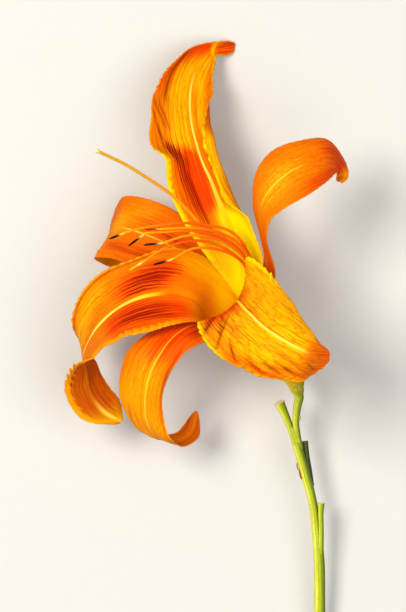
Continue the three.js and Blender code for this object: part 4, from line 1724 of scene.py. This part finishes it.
            (114, 215, 5.5), (119, 229, 0.9), (127, 239, 0.2),
        ],
        after=[
            (178, 282, 24), (148, 266, 23.5), (127, 263, 23), (111, 258.5, 18.5), (94, 258, 12),
            (104, 264.5, 5.5), (115, 268, 0.9), (124, 269, 0.2),
        ],
    ),
]


@dataclass
class Perianth:
    """The six tepals and the tube that carries them."""

    bend: tuple[Station, ...] = (
        (298.3, 393.6, 17), (297.8, 390.5, 17.3), (296.4, 386.6, 17.8), (295.2, 381, 18.7),
        (292, 376, 19.9), (287, 372, 21),
    )
    straight_heights: tuple[float, ...] = (9.0, 13.5, 18.0, TUBE_LENGTH)
    radii: tuple[float, ...] = (1.5, 1.85, 2.2, 2.6, 2.8, 2.75, 2.75, 3.2, 4.5, 6.1)
    mouth_radius: float = 3.9
    mouth_lip: float = 1.2
    ledge_radius: float = 3.5
    bore_radius: float = 0.5
    ridges: int = 6
    sides: int = 72
    steps: int = 90

    @property
    def line(self) -> SmoothLine:
        """The tube's middle line, from its foot to its mouth."""
        straight = [AXIS.round(height, 0, 0) for height in self.straight_heights]
        return SmoothLine(np.vstack([DRAWING.place(list(self.bend)), straight]))

    def build(self) -> list[bpy.types.Object]:
        """Make the tepals and the tube.

        Returns:
            The pieces.
        """
        tissues = {
            Kind.PETAL: TepalTissue("daylily_petal").make(),
            Kind.SEPAL: TepalTissue(
                "daylily_sepal", throat="FF9A08", limb="FB7A04", gold="FFAC06", rib="FFE03C",
                rib_low="FFC81C", back_rib="E0720A", back_tip="E0720A", lines=0.7, tip_gold=0.0,
                mesh_mm=0.8, mesh_length_mm=2.6,
            ).make(),
        }
        pieces = [tepal.build(tissues[tepal.kind]) for tepal in TEPALS]
        return pieces + [self._tube(TubeTissue("daylily_tube").make())]

    def _tube(self, skin: bpy.types.Material) -> bpy.types.Object:
        """Make the ribbed tube, open at its mouth down to the ledge of the stamens.

        Args:
            skin: what it is made of.

        Returns:
            The tube.
        """
        angles = ring_angles(self.sides)
        girth = 1 + 0.025 * np.cos(self.ridges * angles) + 0.01 * np.cos(13 * angles)
        wall = Stalk(self.line.points, list(self.radii), self.sides, self.steps, girth).build()
        # which side faces the key lamp, for the tube's painted light and shade
        wall.marks[Mark.LIT_SIDE] = lit_side_share(wall.marks[Mark.TURN])
        last = self.steps * self.sides
        outer = wall.points[last : last + self.sides]
        keep = (self.steps + 1) * self.sides + 2 * self.sides + 1
        faces = [face for face in wall.faces if max(face) < keep]
        kept = {mark: values[:keep] for mark, values in wall.marks.items()}
        tube = Shape(wall.points[:keep], faces, kept)
        middle = self.line.points[-1]
        floor = LEDGE_HEIGHT - TUBE_LENGTH
        turn = tube.marks[Mark.TURN][: self.sides]
        for radius, rise in (
            (self.mouth_radius + self.mouth_lip, 0.35), (self.mouth_radius, 0.1),
            (self.ledge_radius, floor), (self.bore_radius, floor),
        ):
            first = len(tube.points)
            # the mouth and ledge rings are painted as on the lit side
            marks = {Mark.SHARE: 1.0, Mark.CUT: 0.0, Mark.LIT_SIDE: 1.0, Mark.ALONG_MM: 30.0 + radius}
            marks = {mark: np.full(self.sides, value) for mark, value in marks.items()}
            ring = middle + unit(outer - middle) * radius + AXIS.facing * rise
            faces = band_faces(last, first, self.sides)
            tube.extend(ring, faces, marks | {Mark.TURN: turn})
            last = first
        tube.faces.append(tuple(range(last, last + self.sides)))
        return tube.make("perianth_tube_skin", "perianth_tube", "tube_tissue", skin)


# ---- Style and stamens ----


class Age(Enum):
    """How far an anther has come: its pollen still closed in, out on it, or shed."""

    YOUNG = "young"
    RIPE = "ripe"
    SPENT = "spent"


@dataclass(frozen=True)
class Stamen:
    """One stamen: where its foot stands, where it runs in the bundle, and where it fans out to."""

    foot: float
    clock: float
    offset: float
    route: Stations
    anther: Stations
    age: Age = Age.RIPE


BUNDLE = [(258, 319, 33.6), (253.5, 301, 37.0), (251.5, 285, 39.6), (249, 265, 41.9)]
BUNDLE_RADIUS = 1.22
STAMENS = [
    Stamen(
        132, 120, BUNDLE_RADIUS,
        [
            (240.5, 240, 44), (226, 229.3, 45), (207, 225.3, 45.5), (185, 223, 45.8),
            (160, 225.5, 46), (142, 228, 46), (126, 232.3, 46),
        ],
        [(124.5, 233, 46), (109, 239, 46)],
    ),
    Stamen(
        79, 60, BUNDLE_RADIUS,
        [
            (241, 246, 46.4), (225, 235, 47.4), (205, 229.3, 47.5), (185, 228, 47.5),
            (163, 229, 47.5),
        ],
        [(161.5, 229, 47.5), (144.5, 229.6, 47.2)], Age.SPENT,
    ),
    Stamen(
        26, 0, 0,
        [
            (239, 249.5, 44.4), (224, 238, 45.4), (205, 233, 46), (185, 230.5, 46.2),
            (165, 232, 46.2), (146.5, 233, 46),
        ],
        [(145, 233.6, 46), (128.5, 246, 45)],
    ),
    Stamen(
        -27, 0, BUNDLE_RADIUS,
        [
            (239, 252, 47.4), (224, 241.5, 48.3), (205, 236, 48.8), (185, 236, 48.5),
            (166, 242, 47.8),
        ],
        [(164.5, 243, 47.6), (143.5, 245, 47)],
    ),
    Stamen(
        -132, 240, BUNDLE_RADIUS,
        [
            (235, 255.5, 43), (222, 247, 44), (205, 241.5, 44.6), (185, 241.5, 44.8),
            (165, 248, 44.8), (150, 257, 44.6), (144, 261.3, 44.5),
        ],
        [(142.5, 262.3, 44.4), (129, 270.5, 44)], Age.YOUNG,
    ),
    Stamen(
        -79, 300, BUNDLE_RADIUS,
        [
            (236, 257, 46.5), (222, 250.5, 48.6), (205, 247.7, 49.4), (190, 249.5, 49.2),
            (175, 257.7, 48.6),
        ],
        [(173.5, 259, 48.4), (153.5, 264.8, 48)],
    ),
]


@dataclass
class Heart:
    """Style, stigma, stamens and ovary."""

    filament_radius: float = 0.42
    filament_ring: float = 2.3
    style_radius: float = 0.5
    style_clock: float = 180.0
    anther_radius: float = 0.5
    anther_arch: float = 0.12
    lobes: int = 3
    knob_sides: int = 24
    style_route: tuple[Station, ...] = (
        (239.5, 252, 41.4), (224, 241, 42), (205, 229.5, 43.3), (188, 210.5, 45),
        (170.8, 194.3, 46.5), (150.4, 180, 48.5), (125, 164.3, 50.5), (100, 152.3, 52),
    )

    def _bundle(self, radius: float, clock: float) -> np.ndarray:
        """Find where a stalk of the bundle passes."""
        aside = AXIS.round(0, radius, clock) - AXIS.foot
        return DRAWING.place(BUNDLE) + aside

    def build(self, tube: SmoothLine) -> list[bpy.types.Object]:
        """Make the stamens and the pistil, which starts on the tube's middle line."""
        return self._stamens() + self._pistil(tube)

    def _stamens(self) -> list[bpy.types.Object]:
        """Make each filament with its anther.

        Returns:
            The pieces.
        """
        flesh = StalkTissue(
            "stamen_filament",
            ((0.0, "FFB010"), (0.15, "FF7E04"), (0.45, "FF6E02"), (0.66, "F05A02"),
             (0.85, "F98E06"), (1.0, "FFB810")),
        ).make()
        sacs = {
            Age.RIPE: PollenSac("ripe_anther"),
            Age.YOUNG: PollenSac("young_anther", "FFA808", "FFD860", "FFC020"),
            Age.SPENT: PollenSac("spent_anther", "7A3206", "F0A020", "C46A08"),
        }
        sacs = {age: sac.make() for age, sac in sacs.items()}
        pieces = []
        for i, stamen in enumerate(STAMENS, start=1):
            near, far = DRAWING.place(stamen.anther)
            points = np.vstack(
                [
                    AXIS.round(LEDGE_HEIGHT - 0.1, self.filament_ring, stamen.foot),
                    AXIS.round(TUBE_LENGTH, self.filament_ring - 0.1, stamen.foot),
                    self._bundle(stamen.offset, stamen.clock),
                    DRAWING.place(stamen.route),
                    near + (far - near) * 0.08,
                ]
            )
            taper = np.linspace(1.05, 0.8, len(points)) * self.filament_radius
            shape = Stalk(points, list(taper), sides=14, steps=110).build()
            node = f"filament_{i}"
            pieces.append(shape.make(f"{node}_stalk", node, "filament_tissue", flesh))
            girth = 0.55 if stamen.age is Age.SPENT else 0.8
            shape, node = self._anther(near, far, girth), f"anther_{i}"
            pieces.append(shape.make(f"{node}_sacs", node, "anther_pollen", sacs[stamen.age]))
        return pieces

    def _anther(self, near: np.ndarray, far: np.ndarray, girth: float, sides: int = 24) -> Shape:
        """Shape an anther of two split sacs with a groove between them.

        Args:
            near: the end that the filament holds, in mm.
            far: the free end, in mm.
            girth: how thick it is, as a share of a full one.
            sides: how many corners its section has.

        Returns:
            The shape.
        """
        shares = np.array([0.0, 0.04, 0.12, 0.3, 0.5, 0.7, 0.88, 0.96, 1.0])
        girths = np.array([0.25, 0.6, 0.88, 1.0, 0.97, 1.0, 0.85, 0.55, 0.2])
        wobble = np.array([0, 0.02, -0.03, 0.03, -0.02, 0.02, -0.03, 0.01, 0])
        points = near + (far - near) * shares[:, None]
        points[:, 2] += np.sin(shares * math.pi) * self.anther_arch
        angles = ring_angles(sides)
        radii = (girths + wobble) * self.anther_radius * girth
        groove = np.exp(-((np.sin(angles - 0.3) / 0.25) ** 2))
        section = 1 + 0.2 * np.cos(2 * angles) - 0.22 * groove
        return Stalk(points, list(radii), sides, 40, section).build()

    def _pistil(self, tube: SmoothLine) -> list[bpy.types.Object]:
        """Make the ovary, the style and its three-lobed stigma.

        Args:
            tube: the middle line of the perianth tube.

        Returns:
            The pieces.
        """
        flesh = StalkTissue(
            "daylily_style", ((0.0, "E8C020"), (0.45, "F47A04"), (0.7, "F89008"), (1.0, "D09C14"))
        ).make()
        points = np.vstack(
            [
                tube.at_stations((5.9, 7, 8)),
                AXIS.round(TUBE_LENGTH, 1.0, self.style_clock),
                self._bundle(BUNDLE_RADIUS, self.style_clock),
                DRAWING.place(list(self.style_route)),
            ]
        )
        taper = np.linspace(1.0, 0.88, len(points)) * self.style_radius
        style = Stalk(points, list(taper), sides=16, steps=140).build()

        velvet = StalkTissue(
            "daylily_stigma", ((0.0, "E8C060"), (1.0, "FFF2C0")), streak_mm=0.12,
            finish=Finish(0.8, bump=0.3, depth_mm=0.08, specular=0.06, glow=0.12),
        ).make()
        way = unit(points[-1] - points[-2])
        outs = np.array([0.0, 0.35, 0.8, 1.25, 1.6])
        lobes = np.cos(self.lobes * ring_angles(self.knob_sides))
        knob = points[-1] + way * outs[:, None]
        radii = [0.42, 0.5, 0.66, 0.6, 0.2]
        stigma = Stalk(knob, radii, self.knob_sides, 20, 1 + 0.14 * lobes).build()

        green = StalkTissue("daylily_ovary", ((0.0, "8AA028"), (1.0, "B4B43C"))).make()
        inside = tube.at_stations((1.35, 2.0, 2.9, 4.0, 5.1, 5.75))
        radii = [0.6, 1.15, 1.6, 1.75, 1.4, 0.6]
        ovary = Stalk(inside, radii, self.knob_sides, 24, 1 + 0.06 * lobes).build()
        return [
            style.make("style_stalk", "style", "style_tissue", flesh),
            stigma.make("stigma_lobes", "stigma", "stigma_tissue", velvet),
            ovary.make("ovary_body", "ovary", "ovary_tissue", green),
        ]


# ---- Scape ----


@dataclass(frozen=True)
class Branch:
    """A stretch of stem: its stations, its radii in mm, how pale its skin is, and how dark it is
    painted for shade.
    """

    stations: Stations
    radii: list[float]
    sides: int
    steps: int
    pale: float = 0.0
    shade: float = 0.0

    def build(self, end: list[np.ndarray] | None = None) -> Shape:
        """Shape the branch with faint ridges round it.

        Args:
            end: further points in mm that it runs on to, if any.

        Returns:
            The shape.
        """
        angles = ring_angles(self.sides)
        girth = 1 + 0.02 * np.cos(5 * angles) + 0.012 * np.cos(9 * angles + 1)
        points = np.vstack([DRAWING.place(self.stations), *(end or [])])
        shape = Stalk(points, self.radii, self.sides, self.steps, girth).build()
        shape.marks[Mark.PALE] = np.full(len(shape.points), self.pale)
        # painted shade for a stub that lies in shadow
        shape.marks[Mark.SHADE] = np.full(len(shape.points), self.shade)
        # which side faces the key lamp, for the stem's painted light and shade
        shape.marks[Mark.LIT_SIDE] = lit_side_share(shape.marks[Mark.TURN])
        return shape


PEDICEL = Branch(
    [(300.3, 449, 15.2), (297.7, 437, 16), (295.9, 424, 16.6), (296.3, 415, 16.8),
     (297.3, 406, 16.9)],
    [0.9, 0.95, 0.95, 1.05, 1.2, 1.32, 1.42, 1.5], 30, 90,
)
MAIN_STEM = Branch(
    [(319, 755, 1.6), (321, 690, 4.2), (319.7, 612, 7.7), (319.5, 570, 9.6), (318, 546, 10.7),
     (316, 525, 11.6), (313.2, 505, 12.6), (309.4, 488, 13.3), (306.4, 478, 13.8),
     (301.7, 461, 14.6), (296.7, 445, 15.4), (291.2, 430, 16.1), (285.2, 415, 17.2),
     (280.6, 405.2, 18.1), (279.4, 402.4, 18.4)],
    [1.7, 1.65, 1.6, 1.58, 1.5, 1.35, 1.25, 1.3, 1.33, 1.3, 1.28, 1.02, 1.15, 1.4, 1.46],
    36, 220, pale=0.25,
)
SCAR = Branch(
    [(298.4, 420.5, 16.9), (299.4, 418, 17), (300.2, 415.8, 17.2)], [0.4, 0.35, 0.15], 12, 8
)
RIGHT_STUB = Branch(
    [(320.3, 568, 9.8), (321, 550, 11.3), (321.3, 530, 12.6), (320.9, 515, 13.4),
     (321.2, 503, 14)],
    [0.7, 0.75, 0.72, 0.75, 0.95], 24, 60,
)
# painted shade: this stub lies in shadow behind the stem and is painted dark
SHADED_STUB = Branch(
    [(311.5, 486, 12.4), (308.8, 470, 12.6), (306.3, 455, 12.8), (304.8, 441, 13)],
    [0.8, 0.9, 0.9, 0.92], 24, 50, shade=0.9,
)


@dataclass(frozen=True)
class Scale:
    """One dry scale on the stem, with a ragged edge.

    The stem's middle line runs through its feet. Angles go round the stem from straight up toward
    its right side, in degrees. Its tip may spring off the stem, or its upper half may stand off in
    a loop, both in mm.
    """

    node: str
    slot: str
    feet: Stations
    stem_radius: float
    middle: float
    half_turn: float
    spring: float
    loop: float = 0.0
    stand_off: float = 0.16
    half_thick: float = 0.07
    rows: int = 33
    columns: int = 17

    def build(self, paper: bpy.types.Material) -> bpy.types.Object:
        """Make the scale in place of its solid.

        Args:
            paper: what it is made of.

        Returns:
            The scale.
        """
        line = SmoothLine(DRAWING.place(self.feet))
        t = np.linspace(0, 1, self.rows)
        s = np.linspace(-1, 1, self.columns)
        way = line.way(t)
        right = unit(np.stack([way[:, 1], -way[:, 0], np.zeros(len(t))], axis=1))
        up = np.cross(right, way)
        ragged = 1 + 0.1 * np.sin(9 * t) * np.sin(23 * t)
        share = (0.12 + 0.88 * np.sqrt(1 - t**2)) * ragged
        angle = np.radians(self.middle + s[None, :] * self.half_turn * share[:, None])
        curl = 0.12 * (np.abs(s) ** 3)[None, :] * np.sin(7 * t)[:, None]
        arch = np.sin(math.pi * np.clip((t - 0.48) / 0.5, 0, 1))
        stand = self.spring * t**2 + self.loop * arch
        radius = self.stem_radius + self.stand_off + stand[:, None] + np.maximum(curl, 0)
        out = up[:, None] * np.cos(angle)[..., None] + right[:, None] * np.sin(angle)[..., None]
        base = line.at(t)[:, None]
        sides = [base + out * (radius + h)[..., None] for h in (self.half_thick, -self.half_thick)]
        points = np.concatenate([side.reshape(-1, 3) for side in sides])
        tt, ss = np.meshgrid(t, s, indexing="ij")
        marks = {Mark.ALONG: np.tile(tt.ravel(), 2), Mark.ACROSS: np.tile(ss.ravel(), 2)}
        shape = Shape(points, blade_faces(self.rows, self.columns), marks)
        return shape.make(f"{self.node}_scale", self.node, self.slot, paper)


@dataclass
class Scape:
    """The cut flower stalk with its pedicel, the stubs of its spent neighbours and dry bracts."""

    seat_gap: float = SEAT_GAP
    below_seat: float = 1.1
    into_seat: float = 0.3
    branches: tuple[Branch, ...] = (MAIN_STEM, SCAR, RIGHT_STUB, SHADED_STUB)
    fork_bract: Scale = Scale(
        "bract_fork", "papery_bract", [(296.1, 443, 15.5), (293.6, 436, 15.8), (290, 426.5, 16.3)],
        stem_radius=1.28, middle=2, half_turn=42, spring=0.05,
    )
    dry_bract: Scale = Scale(
        "bract_dry", "dry_bract", [(306, 477.5, 13.8), (304.1, 469.5, 14.2), (301.7, 461, 14.6)],
        stem_radius=1.33, middle=-70, half_turn=15, spring=0.0, loop=0.34,
    )

    def build(self, tube: SmoothLine) -> list[bpy.types.Object]:
        """Make the stem as one piece and its bracts.

        Args:
            tube: the middle line of the perianth tube, on whose foot the pedicel ends.

        Returns:
            The pieces.
        """
        skin = StemTissue("scape_skin").make()
        stem = self._pedicel(tube)
        for branch in self.branches:
            shape, first = branch.build(), len(stem.points)
            faces = [tuple(k + first for k in face) for face in shape.faces]
            stem.extend(shape.points, faces, shape.marks)
        stem.points[:, 2] = np.maximum(stem.points[:, 2], 0.0)
        pale = DryScale("papery_bract_skin").make()
        brown = DryScale("dry_bract_skin", paper="9A5A0C", rib="4E2A06", edge="C08418").make()
        return [
            stem.make("scape_stem", "scape", "scape_stem", skin),
            self.fork_bract.build(pale),
            self.dry_bract.build(brown),
        ]

    def _pedicel(self, tube: SmoothLine) -> Shape:
        """Shape the flower's own stalk, up to the tube's foot.

        Args:
            tube: the middle line of the perianth tube.

        Returns:
            The shape.
        """
        way = tube.way(np.array([0.0]))[0]
        ends = [tube.points[0] - way * (self.seat_gap + back) for back in (self.below_seat, 0.0)]
        return PEDICEL.build(ends + [tube.points[0] + way * self.into_seat])


# ---- Studio ----


@dataclass(frozen=True)
class Lamp:
    """A soft square lamp: where it hangs and its size in metres, its power and its colour."""

    place: tuple[float, float, float]
    size: float
    power: float
    colour: str


@dataclass
class Studio:
    """The pale floor, the lamps, the sky and the camera that looks straight down."""

    floor_side: float = 3.0
    floor_gap: float = 0.1 * MM
    lamps: tuple[Lamp, ...] = (
        Lamp((-0.4, 0.2, 1.0), 0.35, 10.5, "FFFBF2"),
        Lamp((0.32, -0.15, 1.05), 0.8, 7.0, "FBFCFF"),
    )
    lamps_aim: tuple[float, float, float] = (0.0, 0.03, 0.03)
    sky: str = "F4F4F4"
    sky_power: float = 0.4
    film_mm: float = 36.0
    sight: float = 10.0

    def build(self) -> None:
        """Set the studio up."""
        self._floor()
        for i, lamp in enumerate(self.lamps, start=1):
            self._lamp(f"soft_lamp_{i}", lamp)
        world = bpy.data.worlds.new("studio_sky")
        world.use_nodes = True
        back = world.node_tree.nodes["Background"]
        back.inputs["Color"].default_value = linear(self.sky)
        back.inputs["Strength"].default_value = self.sky_power
        bpy.context.scene.world = world
        bpy.context.scene.view_settings.view_transform = "Standard"
        self._camera()

    def _floor(self) -> None:
        """Lay the floor just under the flower."""
        h = self.floor_side / 2
        mesh = bpy.data.meshes.new("studio_floor")
        corners = [(-h, -h, 0), (h, -h, 0), (h, h, 0), (-h, h, 0)]
        mesh.from_pydata(corners, [], [(0, 1, 2, 3)])
        mesh.materials.append(MattPaint("pale_floor_paint").make())
        floor = bpy.data.objects.new("studio_floor", mesh)
        floor.location.z = -self.floor_gap
        bpy.context.scene.collection.objects.link(floor)

    def _lamp(self, name: str, lamp: Lamp) -> None:
        """Hang a lamp that shines at the flower.

        Args:
            name: the light's name.
            lamp: what it is like.
        """
        data = bpy.data.lights.new(name, "AREA")
        data.size = lamp.size
        data.energy = lamp.power
        data.color = linear(lamp.colour)[:3]
        light = bpy.data.objects.new(name, data)
        light.location = lamp.place
        aim = np.array(self.lamps_aim) - np.array(lamp.place)
        light.rotation_euler = Vector(aim).to_track_quat("-Z", "Y").to_euler()
        bpy.context.scene.collection.objects.link(light)

    def _camera(self) -> None:
        """Hang the camera over the middle of the drawing, with the frame of the photograph."""
        data = bpy.data.cameras.new("camera_from_above")
        frame_mm = DRAWING.frame_height_px * DRAWING.span_mm / DRAWING.span_px
        data.sensor_fit = "VERTICAL"
        data.sensor_height = self.film_mm
        data.lens = self.film_mm * (DRAWING.camera_mm - DRAWING.sharp_mm) / frame_mm
        data.clip_end = self.sight
        camera = bpy.data.objects.new("camera_from_above", data)
        x, y = -DRAWING.origin_across_mm, -DRAWING.origin_along_mm
        camera.location = (x * MM, y * MM, DRAWING.camera_mm * MM)
        bpy.context.scene.collection.objects.link(camera)
        bpy.context.scene.camera = camera


def main() -> None:
    """Build the flower and the studio round it."""
    Studio().build()
    perianth = Perianth()
    pieces = perianth.build()
    pieces += Heart().build(perianth.line)
    pieces += Scape().build(perianth.line)
    for piece in pieces:
        size = [round(side / MM, 1) for side in piece.dimensions]
        LOG.info("%s: %d faces, %s mm", piece.name, len(piece.data.polygons), size)


if __name__ == "__main__":
    main()
